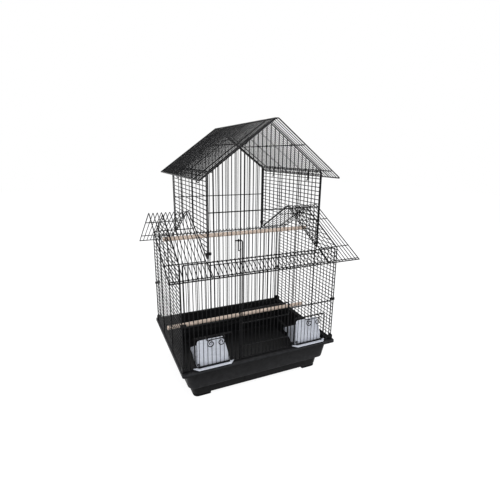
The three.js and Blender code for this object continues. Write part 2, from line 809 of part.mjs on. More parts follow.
function cupGeometry() {
  const neck = frameWire + gap - cupWall;
  const bridge = new THREE.BoxGeometry(cupWidth, neck + cupWall + cupLip / 2, cupLipThickness);
  bridge.translate(0, (cupWall - neck - cupLip / 2) / 2, cupFloor + cupLipThickness / 2);
  return join([
    cupPlate(), cupCheek(-cupWidth / 2, cupCheekHeight),
    cupCheek(cupWidth / 2 - cupWall - cupLowCheekInset, cupLowCheekHeight),
    cupBasin(), bridge, cupLipPlate(neck),
  ]);
}

for (const [side, sign] of [['left', -1], ['right', 1]]) {
  const cup = place(`feeder_cup_${side}`, cupGeometry(), cupWhite);
  cup.position.set(sign * feederCentre, -(wallFace - frameWire / 2 + cupWall), 0);
  cage.add(cup);
}

// Perches: dowels whose slotted ends straddle a level wire of each side wall
const dowelSides = 14;

function perchGeometry() {
  const length = 2 * (baseSide + perchBeyondWires);
  const dowel = new THREE.CylinderGeometry(perchDiameter / 2, perchDiameter / 2, length, dowelSides);
  dowel.rotateZ(Math.PI / 2);
  const slotDepth = perchBeyondWires + infillWire / 2 + gap;
  const slotHeight = infillWire + 2 * gap;
  const slots = [-1, 1].map((sign) => {
    const slot = new THREE.BoxGeometry(2 * slotDepth, 2 * perchDiameter, slotHeight);
    return slot.translate((sign * length) / 2, 0, 0);
  });
  return cut(dowel, slots);
}

for (const [name, count] of [['upper_perch', upperPerchCount], ['lower_perch', lowerPerchCount]]) {
  const perch = place(name, perchGeometry(), perchWood);
  perch.position.z = sideLevel(count);
  cage.add(perch);
}

// Ring clips round the two corner posts where a front or back panel meets a side panel
const ringSteps = 3;

function ringClip(step) {
  const stadium = (margin) => {
    const radius = (Math.SQRT2 * frameWire) / 2 + margin;
    const shape = new THREE.Shape();
    shape.absarc(step, 0, radius, -Math.PI / 2, Math.PI / 2, false);
    shape.absarc(0, 0, radius, Math.PI / 2, (3 * Math.PI) / 2, false);
    return shape;
  };
  const outline = stadium(gap + clipWall);
  outline.holes.push(stadium(gap));
  const ring = new THREE.ExtrudeGeometry(outline, {
    depth: clipHeight, bevelEnabled: false, curveSegments: ringSteps,
  });
  return ring.translate(0, 0, -clipHeight / 2);
}

const corners = [
  ['front_left', -1, -1], ['front_right', 1, -1], ['back_right', 1, 1], ['back_left', -1, 1],
];

function clipCorners(prefix, halfWidth, step, count) {
  for (const [corner, sx, sy] of corners) {
    const ring = ringClip(step);
    if (sx < 0) ring.rotateZ(Math.PI);
    const clip = place(`${prefix}_${corner}`, ring, clipBlack);
    clip.position.set(sx * halfWidth, sy * wallFace, sideLevel(count) + sideWirePitch / 2);
    cage.add(clip);
  }
}

// The tower's clips sit over the first level wire above the foot of its side panels
const towerClipCount = Math.ceil((towerFoot - sillCentre) / sideWirePitch);
clipCorners('middle_clip', baseHalfWidth, baseCornerStep, midClipCount);
clipCorners('tower_clip', towerHalfWidth, towerCornerStep, towerClipCount);

// Corner stops on the rim keep the wire body from sliding on the pan
for (const [corner, sx, sy] of corners) {
  const outline = new THREE.Shape();
  outline.moveTo(0, 0);
  outline.lineTo(-cornerStopLength, 0);
  outline.lineTo(-cornerStopLength, -cornerStopWall);
  outline.lineTo(-cornerStopWall, -cornerStopWall);
  outline.lineTo(-cornerStopWall, -cornerStopLength);
  outline.lineTo(0, -cornerStopLength);
  const stop = new THREE.ExtrudeGeometry(outline, { depth: cornerStopHeight, bevelEnabled: false });
  stop.rotateZ(Math.atan2(sy, sx) - Math.PI / 4);
  const mesh = place(`corner_stop_${corner}`, stop, clipBlack);
  const margin = frameWire / 2 + gap + cornerStopWall;
  mesh.position.set(sx * (baseSide + margin), sy * (wallFace + margin), rimTop + gap);
  cage.add(mesh);
}

// Roof hooks hang beside the tower's top rail and reach in with a toe between two level wires
const toeCount = Math.floor((towerEave - roofHookReach - sillCentre) / sideWirePitch) + roofHookToeShare;
const roofHookToe = sillCentre + toeCount * sideWirePitch;
const roofHookLength = towerEave + (frameWire + roofHookWall) / 2 - roofHookToe;
for (const [corner, sx, sy] of corners) {
  const outline = new THREE.Shape();
  outline.moveTo(0, 0);
  outline.lineTo(0, -roofHookLength);
  outline.lineTo(-roofHookToeLength, -roofHookLength);
  outline.lineTo(-roofHookToeLength, roofHookWall - roofHookLength);
  outline.lineTo(-roofHookWall, roofHookWall - roofHookLength);
  outline.lineTo(-roofHookWall, 0);
  const strip = new THREE.ExtrudeGeometry(outline, { depth: roofHookWidth, bevelEnabled: false });
  strip.rotateX(Math.PI / 2).translate(0, roofHookWidth / 2, 0);
  if (sx < 0) strip.rotateZ(Math.PI);
  const mesh = place(`roof_hook_${corner}`, strip, wireBlack);
  const reach = towerSide + frameWire / 2 + gap + roofHookWall;
  mesh.position.set(sx * reach, sy * wallFace * roofHookShare, towerEave + frameWire / 2);
  cage.add(mesh);
}

export default cage;
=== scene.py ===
# %% [markdown]
# # A pagoda bird cage, dressed around its CAD frame
# The cage is welded wire: two rooms with crossing gable roofs on a deep moulded pan. The CAD frame
# gives every plane and pitch with square wires. Here each panel is drawn again in round wire with
# bent corners and weld beads, and the moulded and turned parts get their fillets and finishes.

# %%
import bpy
import numpy as np
from mathutils import Matrix


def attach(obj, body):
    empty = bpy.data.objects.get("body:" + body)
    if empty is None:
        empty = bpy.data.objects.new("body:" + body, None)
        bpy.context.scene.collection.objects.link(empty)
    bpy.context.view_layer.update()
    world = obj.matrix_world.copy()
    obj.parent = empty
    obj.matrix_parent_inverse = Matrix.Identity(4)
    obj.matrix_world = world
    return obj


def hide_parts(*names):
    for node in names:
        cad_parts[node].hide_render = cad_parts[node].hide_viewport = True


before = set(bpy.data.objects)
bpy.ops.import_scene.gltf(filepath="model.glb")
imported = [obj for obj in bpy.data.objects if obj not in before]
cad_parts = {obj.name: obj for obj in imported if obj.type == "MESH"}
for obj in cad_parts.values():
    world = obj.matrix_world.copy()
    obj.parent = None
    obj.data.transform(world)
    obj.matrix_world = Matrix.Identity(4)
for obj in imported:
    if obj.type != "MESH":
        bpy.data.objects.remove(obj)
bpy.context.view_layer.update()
rng = np.random.default_rng(7)

# %% [markdown]
# ## Camera, light and floor
# The camera was fitted to the photograph from the ridges, eaves and rim of the cage. It stands to
# the left of the front, a little below the upper ridge, and looks down by fifteen degrees.

# %%
def unit(v):
    """Vectors scaled to length one."""
    return v / np.linalg.norm(v, axis=-1, keepdims=True)


def stand(name, data, axes, place):
    """A new object at a place, with its own axes along three directions."""
    pose = np.eye(4)
    pose[:3, :3] = np.column_stack(axes)
    pose[:3, 3] = place
    thing = bpy.data.objects.new(name, data)
    thing.matrix_world = Matrix(pose.tolist())
    bpy.context.scene.collection.objects.link(thing)
    return thing


def area_light(name, place, target, size, power):
    """A square soft box at place that faces target; both are in metres."""
    data = bpy.data.lights.new(name, "AREA")
    data.size, data.energy = size, power
    away = unit(np.array(place) - target)
    side = unit(np.cross([0, 0, 1], away))
    stand(name, data, [side, np.cross(away, side), away], place)


SENSOR, FOCAL_PIXELS, PHOTO_PIXELS = 36, 356.5, 500
yaw, pitch, roll = np.radians([24.70, -14.92, 0.68])
look = np.array([np.sin(yaw) * np.cos(pitch), np.cos(yaw) * np.cos(pitch), np.sin(pitch)])
level = np.array([np.cos(yaw), -np.sin(yaw), 0.0])
lift = np.cross(level, look)
across = np.cos(roll) * level + np.sin(roll) * lift
upward = -np.sin(roll) * level + np.cos(roll) * lift
camera = stand("camera", bpy.data.cameras.new("camera"), [across, upward, -look],
               [-0.4072, -0.9539, 0.6338])
camera.data.sensor_width = SENSOR
camera.data.lens = SENSOR * FOCAL_PIXELS / PHOTO_PIXELS
bpy.context.scene.camera = camera
print("lens:", round(camera.data.lens, 2), "mm")

for name, place, power in (("key", (-1.3, -1.9, 2.4), 42), ("fill", (1.9, -1.2, 1.6), 16),
                           ("rim", (0.4, 2.2, 2.2), 24)):
    area_light(name, place, (0, 0, 0.3), 1.6, power)
bpy.context.scene.view_settings.view_transform = "Standard"

# %% [markdown]
# The photograph's ground is plain white. More light would bleach the cage, so the white is only for
# rays that look at the ground: straight from the camera, mirrored or through. All other rays meet
# a soft sky and a plain pale floor. The seen floor keeps a share of that floor, and so its shadow.


# %%
def add(tree, kind, values=None, **settings):
    """A node in a tree with its settings and input values; a socket as a value makes a link."""
    node = tree.nodes.new("ShaderNode" + kind)
    for key, value in settings.items():
        setattr(node, key, value)
    for key, value in (values or {}).items():
        if isinstance(value, bpy.types.NodeSocket):
            tree.links.new(value, node.inputs[key])
        else:
            node.inputs[key].default_value = value
    return node


def seen_white(tree, plain, white, share, output):
    """Mixes plain and white shaders by a share, for camera, glossy and transmission rays alone."""
    rays = add(tree, "LightPath")
    looked = rays.outputs["Is Camera Ray"]
    for kind in ("Is Glossy Ray", "Is Transmission Ray"):
        either = add(tree, "Math", {0: looked, 1: rays.outputs[kind]}, operation="MAXIMUM")
        looked = either.outputs[0]
    scaled = add(tree, "Math", {0: looked, 1: share}, operation="MULTIPLY")
    blend = add(tree, "MixShader", {0: scaled.outputs[0], 1: plain.outputs[0], 2: white.outputs[0]})
    tree.links.new(blend.outputs[0], tree.nodes[output].inputs[0])


def new_material(name):
    """A material with nodes, its tree and its shader."""
    material = bpy.data.materials.new(name)
    material.use_nodes = True
    return material, material.node_tree, material.node_tree.nodes["Principled BSDF"]


world = bpy.data.worlds.new("studio")
bpy.context.scene.world = world
world.use_nodes = True
glow = world.node_tree.nodes["Background"]
glow.inputs["Color"].default_value = (0.93, 0.95, 1, 1)
glow.inputs["Strength"].default_value = 0.55
white_sky = add(world.node_tree, "Background", {"Color": (1, 1, 1, 1)})
seen_white(world.node_tree, glow, white_sky, 1.0, "World Output")

floor_mesh = bpy.data.meshes.new("floor")
floor_mesh.from_pydata([(-6, -6, 0), (6, -6, 0), (6, 6, 0), (-6, 6, 0)], [], [(0, 1, 2, 3)])
floor = bpy.data.objects.new("floor", floor_mesh)
bpy.context.scene.collection.objects.link(floor)
pale, pale_tree, matt = new_material("pale_floor")
matt.inputs["Base Color"].default_value = (0.95, 0.95, 0.95, 1)
matt.inputs["Roughness"].default_value = 0.9
white_ground = add(pale_tree, "Emission", {"Strength": 1.17})
seen_white(pale_tree, matt, white_ground, 0.75, "Material Output")
floor_mesh.materials.append(pale)
print("ground:", world.name, "and", pale.name)

# %% [markdown]
# ## Sizes
# The same values as the CAD source, in millimetres. Meshes are scaled to metres when they are made.
# The powder coat thickens a drawn wire by a hair. The feeders are made of a finer wire.

# %%
GAP, INFILL, CROSS, FRAME, POST, HEADER = 0.3, 2.0, 2.6, 3.0, 2.8, 2.6
LEVEL_WIRE = 3.2
COAT = 0.25
FINE_WIRE = 1.4
LAYER = 2.6
PITCH = 11.2
BASE_HALF, TOWER_HALF = 19.5 * PITCH, 13.5 * PITCH
BASE_STEP, TOWER_STEP = 7.5, 5.8
BASE_SIDE, TOWER_SIDE = BASE_HALF + BASE_STEP, TOWER_HALF + TOWER_STEP
WALL = 168.0
RIM = 100.0
SILL = RIM + GAP + FRAME / 2
SHOULDER, EAVE = RIM + 283, RIM + 493.4
LEVEL_PITCH = 11.0
CLIP_LEVEL = 11
SIDE_POST = WALL / 3
DOOR_FACE = WALL + FRAME + GAP
LOWER, UPPER = np.radians(29.4), np.radians(36.6)
LOWER_RUN, UPPER_RUN = WALL + 53, TOWER_SIDE + 28
UPPER_HALF = WALL + 40
CORNERS = (("front_left", -1, -1), ("front_right", 1, -1), ("back_right", 1, 1),
           ("back_left", -1, 1))


def ridge_over(rail, reach, slope):
    """Ridge height of a roof whose cross wire lies on a wall's rail, reach from the middle."""
    centre = rail + FRAME / 2 + GAP + CROSS / 2 * (np.cos(slope) + np.sin(slope))
    return centre + (reach + LAYER * np.sin(slope)) * np.tan(slope) + LAYER * np.cos(slope)


def under_roof(ridge, slope, reach):
    """Height of a gable rail under the cross wires of a roof."""
    below = LAYER + CROSS / 2 + GAP + FRAME / 2
    return ridge - below / np.cos(slope) - reach * np.tan(slope)


LOWER_RIDGE, UPPER_RIDGE = ridge_over(SHOULDER, WALL, LOWER), ridge_over(EAVE, TOWER_SIDE, UPPER)
print("ridges:", round(LOWER_RIDGE, 1), round(UPPER_RIDGE, 1), "mm")

# %% [markdown]
# ## Surfaces as arrays
# Every piece is a surface over two parameters, evaluated for all points at once: how far along a
# wire or profile, and how far round it. A part is a pair of vertices and lists of faces.


# %%
def stacked(*values):
    """Arrays broadcast against each other and stacked along a new last axis."""
    return np.stack(np.broadcast_arrays(*values), -1)


def circle(count):
    """Angles spread evenly round a circle."""
    return np.linspace(0, 2 * np.pi, count, endpoint=False)


def grid_faces(rows, columns, closed_rows=False):
    """Quads of a grid of rows by columns that closes on itself along each row."""
    r = np.arange(rows if closed_rows else rows - 1)[:, None]
    c = np.arange(columns)[None, :]
    r2, c2 = (r + 1) % rows, (c + 1) % columns
    quads = stacked(r * columns + c, r * columns + c2, r2 * columns + c2, r2 * columns + c)
    return quads.reshape(-1, 4)


def closed_faces(rows, columns):
    """Faces of rings in rows, with a flat face on the first and on the last ring."""
    ring = np.arange(columns)[None]
    return [grid_faces(rows, columns), ring[:, ::-1], (rows - 1) * columns + ring]


def capped_faces(rings, sides):
    """Faces of a tube whose first and last points are poles: two fans and the bands between."""
    k = np.arange(sides)
    k2 = (k + 1) % sides
    last = rings * sides + 1
    first_fan = stacked(0, k2 + 1, k + 1)
    last_fan = stacked(last, last - sides + k, last - sides + k2)
    return [np.concatenate([first_fan, last_fan]), grid_faces(rings, sides) + 1]


def repeated(vertices, faces):
    """Faces for many copies of a piece; vertices is copies by points by 3."""
    copies, points = vertices.shape[:2]
    step = np.arange(copies)[:, None, None] * points
    return vertices.reshape(-1, 3), [(f[None] + step).reshape(-1, f.shape[1]) for f in faces]


CAP = np.radians([32, 62])
CAP_DEPTH, CAP_WIDTH = 1 - np.cos(CAP), np.sin(CAP)


def rods(starts, ends, diameter, bow=0.0, spans=5, sides=10):
    """Straight round wires with half-ball ends: centre line from start to end, plus bow times a sine
    along it, plus radius times (cos, sin) of the angle round it."""
    starts, ends = np.atleast_2d(starts).astype(float), np.atleast_2d(ends).astype(float)
    axis, length = unit(ends - starts), np.linalg.norm(ends - starts, axis=1)
    helper = np.where(np.abs(axis[:, 2:]) < 0.9, [[0, 0, 1.0]], [[1.0, 0, 0]])
    side = unit(np.cross(helper, axis))
    up = np.cross(axis, side)
    radius = diameter / 2
    middle = radius + np.linspace(0, 1, spans + 1) * (length[:, None] - 2 * radius)
    near = np.tile(radius * CAP_DEPTH, (len(starts), 1))
    along = np.concatenate([near, middle, (length[:, None] - near)[:, ::-1]], 1)
    thick = radius * np.concatenate([CAP_WIDTH, np.ones(spans + 1), CAP_WIDTH[::-1]])
    angle = circle(sides)
    sway = np.sin(np.pi * along / length[:, None])[..., None] * np.reshape(bow, (-1, 1, 1))
    centre = starts[:, None] + along[..., None] * axis[:, None] + sway * side[:, None]
    around = np.cos(angle)[:, None] * side[:, None] + np.sin(angle)[:, None] * up[:, None]
    rings = centre[:, :, None] + thick[None, :, None, None] * around[:, None]
    points = rings.reshape(len(starts), -1, 3)
    points = np.concatenate([starts[:, None], points, ends[:, None]], 1)
    return repeated(points, capped_faces(along.shape[1], sides))


def beads(centres, radii, sides=6):
    """Small weld beads: points of a unit ball times radii, moved to each centre."""
    polar, angle = np.radians([45, 90, 135])[:, None], circle(sides)
    ring = stacked(np.sin(polar) * np.cos(angle), np.sin(polar) * np.sin(angle), -np.cos(polar))
    ball = np.concatenate([[[0, 0, -1.0]], ring.reshape(-1, 3), [[0, 0, 1.0]]]) * radii
    return repeated(np.atleast_2d(centres)[:, None] + ball, capped_faces(3, sides))


# %%
def curve(a, b, c, steps=8):
    """Points of a quadratic curve from a to c that leans towards b."""
    t = np.linspace(0, 1, steps + 1)[:, None]
    a, b, c = np.array(a, float), np.array(b, float), np.array(c, float)
    return (1 - t) ** 2 * a + 2 * t * (1 - t) * b + t ** 2 * c


def bent(corners, radius, closed=False, steps=6):
    """A chain of lines with each corner bent: a curve from a point before it to one after it."""
    corners = np.asarray(corners, float)
    count = len(corners)
    line = [] if closed else [corners[:1]]
    for i in range(0 if closed else 1, count if closed else count - 1):
        here, before, after = corners[i], corners[i - 1], corners[(i + 1) % count]
        a, b = unit(before - here), unit(after - here)
        turn = np.pi - np.arccos(np.clip(a @ b, -1, 1))
        room = 0.45 * min(np.linalg.norm(before - here), np.linalg.norm(after - here))
        reach = min(radius * np.tan(turn / 2), room)
        line.append(curve(here + a * reach, here, here + b * reach, steps))
    if not closed:
        line.append(corners[-1:])
    return np.concatenate(line)


def wire(path, diameter, closed=False, sides=12):
    """A round wire along a path. Each ring stands square to the path, and its first direction is
    carried from ring to ring without twist. Open ends are half balls."""
    path = np.asarray(path, float)
    tangent = np.roll(path, -1, 0) - np.roll(path, 1, 0) if closed else np.gradient(path, axis=0)
    tangent = unit(tangent)
    radius = diameter / 2
    thick = np.full(len(path), radius)
    if not closed:
        first, last = path[0], path[-1]
        depth = (radius * CAP_DEPTH)[:, None]
        inner = path.copy()
        inner[0], inner[-1] = first + tangent[0] * radius, last - tangent[-1] * radius
        path = np.concatenate([first + tangent[0] * depth, inner, last - tangent[-1] * depth[::-1]])
        tangent = np.concatenate([tangent[:1], tangent[:1], tangent, tangent[-1:], tangent[-1:]])
        thick = np.concatenate([radius * CAP_WIDTH, thick, radius * CAP_WIDTH[::-1]])
    spread = np.ptp(path, axis=0)
    side = np.zeros_like(path)
    side[0] = np.eye(3)[np.argmin(spread)]
    side[0] = unit(side[0] - (side[0] @ tangent[0]) * tangent[0])
    for i in range(1, len(path)):
        side[i] = unit(side[i - 1] - (side[i - 1] @ tangent[i]) * tangent[i])
    up = np.cross(tangent, side)
    angle = circle(sides)[None, :, None]
    around = np.cos(angle) * side[:, None] + np.sin(angle) * up[:, None]
    rings = path[:, None] + thick[:, None, None] * around
    if closed:
        return rings.reshape(-1, 3), [grid_faces(len(path), sides, True)]
    points = np.concatenate([first[None], rings.reshape(-1, 3), last[None]])
    return points, capped_faces(len(path), sides)


def inset(outline, distance):
    """An anticlockwise outline moved inwards by a distance, with mitred corners."""
    a = unit(outline - np.roll(outline, 1, 0))
    b = unit(np.roll(outline, -1, 0) - outline)
    inward = unit(stacked(-a[:, 1] - b[:, 1], a[:, 0] + b[:, 0]))
    square = stacked(-a[:, 1], a[:, 0])
    return outline + inward * (distance / np.sum(inward * square, 1))[:, None]


def raised(points, height):
    """Plane points given a height off their plane."""
    return np.concatenate([points, np.full(points.shape[:-1] + (1,), float(height))], -1)


def rectangle(x0, y0, x1, y1):
    """Corners of an upright rectangle, anticlockwise."""
    return np.array([(x0, y0), (x1, y0), (x1, y1), (x0, y1)], float)


def slab(outline, thickness, edge):
    """A plate over an anticlockwise outline: its rings shrink by edge times (1 - sin) towards both
    faces, which rounds the edges. Flat faces close it."""
    phi = np.radians([0, 30, 60, 90])
    shrink = np.concatenate([edge * (1 - np.sin(phi)), edge * (1 - np.sin(phi))[::-1]])
    height = np.concatenate([edge * (1 - np.cos(phi)), thickness - edge * (1 - np.cos(phi))[::-1]])
    rings = [raised(inset(outline, s), h) for s, h in zip(shrink, height)]
    return np.concatenate(rings), closed_faces(len(rings), len(outline))


# %%
def moved(part, change):
    """A part with its vertices changed by a function."""
    return change(part[0]), part[1]


def placed(parts, *changes):
    """Parts that are all changed by each function in turn."""
    for change in changes:
        parts = [moved(p, change) for p in parts]
    return parts


def shift(x, y, z):
    """A function that moves points."""
    return lambda p: p + np.array([x, y, z])


SIDES = {"front": 0, "back": np.pi, "left": -np.pi / 2, "right": np.pi / 2}


def turned(p, side):
    """Points built for the front of the cage, turned to another side."""
    c, s = np.cos(SIDES[side]), np.sin(SIDES[side])
    return stacked(c * p[..., 0] - s * p[..., 1], s * p[..., 0] + c * p[..., 1], p[..., 2])


def standing(side, distance):
    """Panel points (across, up, outwards) placed on a wall at a distance from the middle."""
    return lambda p: turned(stacked(p[..., 0], -p[..., 2] - distance, p[..., 1]), side)


def leaning(side, slope, ridge):
    """Panel points (across, up the slope, off the slope) placed on a roof below its ridge."""
    c, s = np.cos(slope), np.sin(slope)
    return lambda p: turned(stacked(p[..., 0], p[..., 1] * c - p[..., 2] * s,
                                    p[..., 1] * s + p[..., 2] * c + ridge), side)


def to_corner(sx, sy):
    """A function that turns points by quarters from the back right corner to another one."""
    turn = np.arctan2(sy, sx) - np.pi / 4
    c, s = round(np.cos(turn)), round(np.sin(turn))
    return lambda p: p @ np.array([[c, -s, 0], [s, c, 0], [0, 0, 1]]).T


def half_turned(sign):
    """A function that turns points half round the vertical where the sign is -1."""
    return lambda p: p * np.array([sign, sign, 1])


def make(name, parts, material, body, slot, *replaced, sharp=35):
    """Joins parts into one smooth-shaded object in metres that rides on a body of the frame."""
    vertices, faces, start = [], [], 0
    for points, groups in parts:
        vertices.append(points)
        faces += [row for group in groups for row in (group + start).tolist()]
        start += len(points)
    mesh = bpy.data.meshes.new(name)
    mesh.from_pydata(np.concatenate(vertices) * 0.001, [], faces)
    mesh.polygons.foreach_set("use_smooth", np.ones(len(mesh.polygons), bool))
    mesh.set_sharp_from_angle(angle=np.radians(sharp))
    mesh.materials.append(material)
    piece = bpy.data.objects.new(name, mesh)
    bpy.context.scene.collection.objects.link(piece)
    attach(piece, body)
    if replaced:
        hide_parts(*replaced)
    print(f"{name}: {len(mesh.polygons)} faces")
    return piece

# %% [markdown]
# ## Materials
# Three shared effects are node groups: a fine bumpy skin, dust that settles on faces that look up,
# and lighter edges from an attribute the pieces carry, part rubbed wear and part painted highlight.
# Each material keeps its own shader and takes colour, roughness and bump height from the groups.


# %%
def group(name, inputs, outputs):
    """A new node group with float or colour sockets, given as name: (kind, default)."""
    tree = bpy.data.node_groups.new(name, "ShaderNodeTree")
    for direction, sockets in (("INPUT", inputs), ("OUTPUT", outputs)):
        for label, (kind, default) in sockets.items():
            socket = tree.interface.new_socket(
                label, in_out=direction, socket_type="NodeSocket" + kind)
            if direction == "INPUT":
                socket.default_value = default
    return tree, tree.nodes.new("NodeGroupInput"), tree.nodes.new("NodeGroupOutput")


def ramp(tree, factor, low, high):
    """A colour ramp between two colours."""
    node = add(tree, "ValToRGB", {"Fac": factor})
    node.color_ramp.elements[0].color, node.color_ramp.elements[1].color = (*low, 1), (*high, 1)
    return node.outputs["Color"]


def noise(tree, scale, detail):
    """Noise in object space; the scale is a number or a socket."""
    place = add(tree, "TexCoord").outputs["Object"]
    return add(tree, "TexNoise", {"Vector": place, "Scale": scale, "Detail": detail}).outputs["Fac"]


def mapped(tree, value, low, high, to_low=0.0, to_high=1.0):
    """A value between two limits, stretched to a range."""
    return add(tree, "MapRange", {"Value": value, "From Min": low, "From Max": high,
                                  "To Min": to_low, "To Max": to_high}).outputs[0]


def mottle(tree, scale, low, high):
    """Soft noise, stretched to a range."""
    return mapped(tree, noise(tree, scale, 4.0), 0.3, 0.7, low, high)


def product(tree, a, b):
    """Two values multiplied."""
    return add(tree, "Math", {0: a, 1: b}, operation="MULTIPLY").outputs[0]


skin, skin_in, skin_out = group(
    "bumpy_skin", {"Scale": ("Float", 600.0)}, {"Height": ("Float", 0)})
skin.links.new(noise(skin, skin_in.outputs["Scale"], 3.0), skin_out.inputs["Height"])


def laid_over(tree, given, result, cover, colour, roughness):
    """Sets a group's outputs: its given colour and roughness, mixed with others by cover."""
    mixed = add(tree, "Mix", {0: cover, 6: given.outputs["Color"], 7: given.outputs[colour]},
                data_type="RGBA")
    tree.links.new(mixed.outputs[2], result.inputs["Color"])
    changed = add(tree, "Mix", {0: cover, 2: given.outputs["Roughness"], 3: roughness})
    tree.links.new(changed.outputs[0], result.inputs["Roughness"])


both_outputs = {"Color": ("Color", None), "Roughness": ("Float", None)}
dust, dust_in, dust_out = group(
    "settled_dust", {"Color": ("Color", (0, 0, 0, 1)), "Dust": ("Color", (0.3, 0.29, 0.27, 1)),
                     "Amount": ("Float", 0.3), "Roughness": ("Float", 0.5)}, both_outputs)
facing = add(dust, "SeparateXYZ", {0: add(dust, "NewGeometry").outputs["Normal"]})
upward_share = mapped(dust, facing.outputs["Z"], 0.55, 1.0)
cover = product(dust, upward_share, mapped(dust, noise(dust, 22.0, 6.0), 0.38, 0.72))
laid_over(dust, dust_in, dust_out, product(dust, cover, dust_in.outputs["Amount"]), "Dust", 0.9)

# Lighter, smoother edges where a mesh attribute says so: part rubbed wear, part painted highlight.
lit_worn, lit_worn_in, lit_worn_out = group(
    "edge_highlight_and_wear", {"Color": ("Color", (0, 0, 0, 1)), "LitWorn": ("Color", (0.1, 0.1, 0.1, 1)),
                     "Roughness": ("Float", 0.5)}, both_outputs)
lit_worn_mask = add(lit_worn, "Attribute", attribute_name="highlight_wear")
share = product(lit_worn, lit_worn_mask.outputs["Fac"], noise(lit_worn, 90.0, 5.0))
laid_over(lit_worn, lit_worn_in, lit_worn_out, share, "LitWorn", 0.3)


def finish(name, colours, roughness, skin_scale, skin_height, amount, lit_worn_colour, **shader):
    """A material: mottled colour, edge wear with painted highlight, dust above, bumpy skin; shader
    sets its sockets.
    """
    material, tree, bsdf = new_material(name)
    for key, value in shader.items():
        bsdf.inputs[key.replace("_", " ")].default_value = value
    base = ramp(tree, mottle(tree, 35.0, 0, 1), *colours)
    lit_worn_edges = add(tree, "Group", {"Color": base, "LitWorn": (*lit_worn_colour, 1),
                                 "Roughness": mottle(tree, 120.0, *roughness)}, node_tree=lit_worn)
    dusty = add(tree, "Group", {"Color": lit_worn_edges.outputs["Color"], "Amount": amount,
                                "Roughness": lit_worn_edges.outputs["Roughness"]}, node_tree=dust)
    tree.links.new(dusty.outputs["Color"], bsdf.inputs["Base Color"])
    tree.links.new(dusty.outputs["Roughness"], bsdf.inputs["Roughness"])
    grain = add(tree, "Group", {"Scale": skin_scale}, node_tree=skin)
    bump = add(tree, "Bump", {"Height": grain.outputs["Height"], "Strength": 1.0,
                              "Distance": skin_height})
    tree.links.new(bump.outputs[0], bsdf.inputs["Normal"])
    return material


black_wire = finish("black_wire", ((0.003, 0.003, 0.0035), (0.006, 0.006, 0.007)), (0.36, 0.52),
                    900.0, 0.00008, 0.015, (0.03, 0.03, 0.033), Specular_IOR_Level=0.12)
black_pan = finish("black_pan", ((0.003, 0.0031, 0.0034), (0.006, 0.0062, 0.0068)), (0.46, 0.62),
                   1500.0, 0.0001, 0.012, (0.04, 0.04, 0.043), Specular_IOR_Level=0.08)
black_clip = finish("black_clip", ((0.003, 0.003, 0.0035), (0.006, 0.006, 0.0066)), (0.38, 0.52),
                    700.0, 0.00005, 0.015, (0.02, 0.02, 0.022), Specular_IOR_Level=0.12)
white_cup = finish("white_cup", ((0.55, 0.575, 0.635), (0.60, 0.625, 0.685)), (0.20, 0.32),
                   260.0, 0.00006, 0.06, (0.68, 0.70, 0.75), Coat_Weight=0.15)
print("materials:", [m.name for m in bpy.data.materials])

# %% [markdown]
# The perches are bare sanded dowels. A dowel is cut from a tree at a slant to its rings, so its
# grain is a set of cylinders about an axis well off its own: long streaks on the side and arcs on
# the end.

# %%
perch_wood, tree, wood_shader = new_material("perch_wood")
dowel = add(tree, "Attribute", attribute_name="dowel").outputs["Vector"]
slanted = add(tree, "Mapping", {"Vector": dowel, "Location": (0, 0.021, 0.017),
                                "Rotation": (0, 0.03, 0.02)}).outputs[0]
wander = add(tree, "TexNoise", {"Vector": slanted, "Scale": 30.0, "Detail": 3.0})
rings = add(tree, "TexWave", {"Vector": slanted, "Scale": 210.0, "Distortion": 2.5, "Detail": 3.0,
                              "Detail Scale": 0.6}, wave_type="RINGS", rings_direction="X")
stretched = add(tree, "Mapping", {"Vector": dowel, "Scale": (14, 900, 900)}).outputs[0]
pores = add(tree, "TexNoise", {"Vector": stretched, "Scale": 1.0, "Detail": 2.0}).outputs["Fac"]
grain = add(tree, "Mix", {0: 0.35, 2: rings.outputs["Fac"], 3: pores})
blotch = add(tree, "Mix", {0: 0.25, 2: grain.outputs[0], 3: wander.outputs["Fac"]})
bump = add(tree, "Bump", {"Height": pores, "Strength": 0.6, "Distance": 0.0002})
for value, socket in (
        (ramp(tree, blotch.outputs[0], (0.62, 0.47, 0.37), (0.82, 0.69, 0.58)), "Base Color"),
        (mapped(tree, pores, 0.0, 1.0, 0.52, 0.72), "Roughness"), (bump.outputs[0], "Normal")):
    tree.links.new(value, wood_shader.inputs[socket])
print("wood grain nodes:", len(tree.nodes))

# %% [markdown]
# ## Welded wire panels
# A cage panel is made on a flat jig: straight wires are laid across a bent border wire and spot
# welded. The powder coat then gathers at each weld in a small bead. So a panel here is a closed
# border with bent corners, straight wires that end in it, stouter posts, cross wires in a layer of
# their own, and a bead at every joint. No wire is quite straight, so each gets a slight bow.

# %%
BOW = 0.12
BEAD = np.array([1.35, 1.35, 1.1])


def pitches(low, high, share):
    """Multiples of the wire pitch plus a share of it, well inside two limits."""
    k = np.arange(np.ceil(low / PITCH - share), high / PITCH - share)
    at = (k + share) * PITCH
    return at[(at > low + PITCH / 2) & (at < high - PITCH / 2)]


def evenly(low, high):
    """Places spread evenly between two limits, close to the pitch."""
    return np.linspace(low, high, round((high - low) / PITCH) + 1)[1:-1]


def lines(u0, v0, u1, v1):
    """Pairs of end points (count, 2, 2) from scalars or arrays."""
    pair = [stacked(u0, v0).reshape(-1, 2), stacked(u1, v1).reshape(-1, 2)]
    return np.stack(pair, 1).astype(float)


def cross(a, b):
    """The cross product of plane vectors."""
    return a[..., 0] * b[..., 1] - a[..., 1] * b[..., 0]


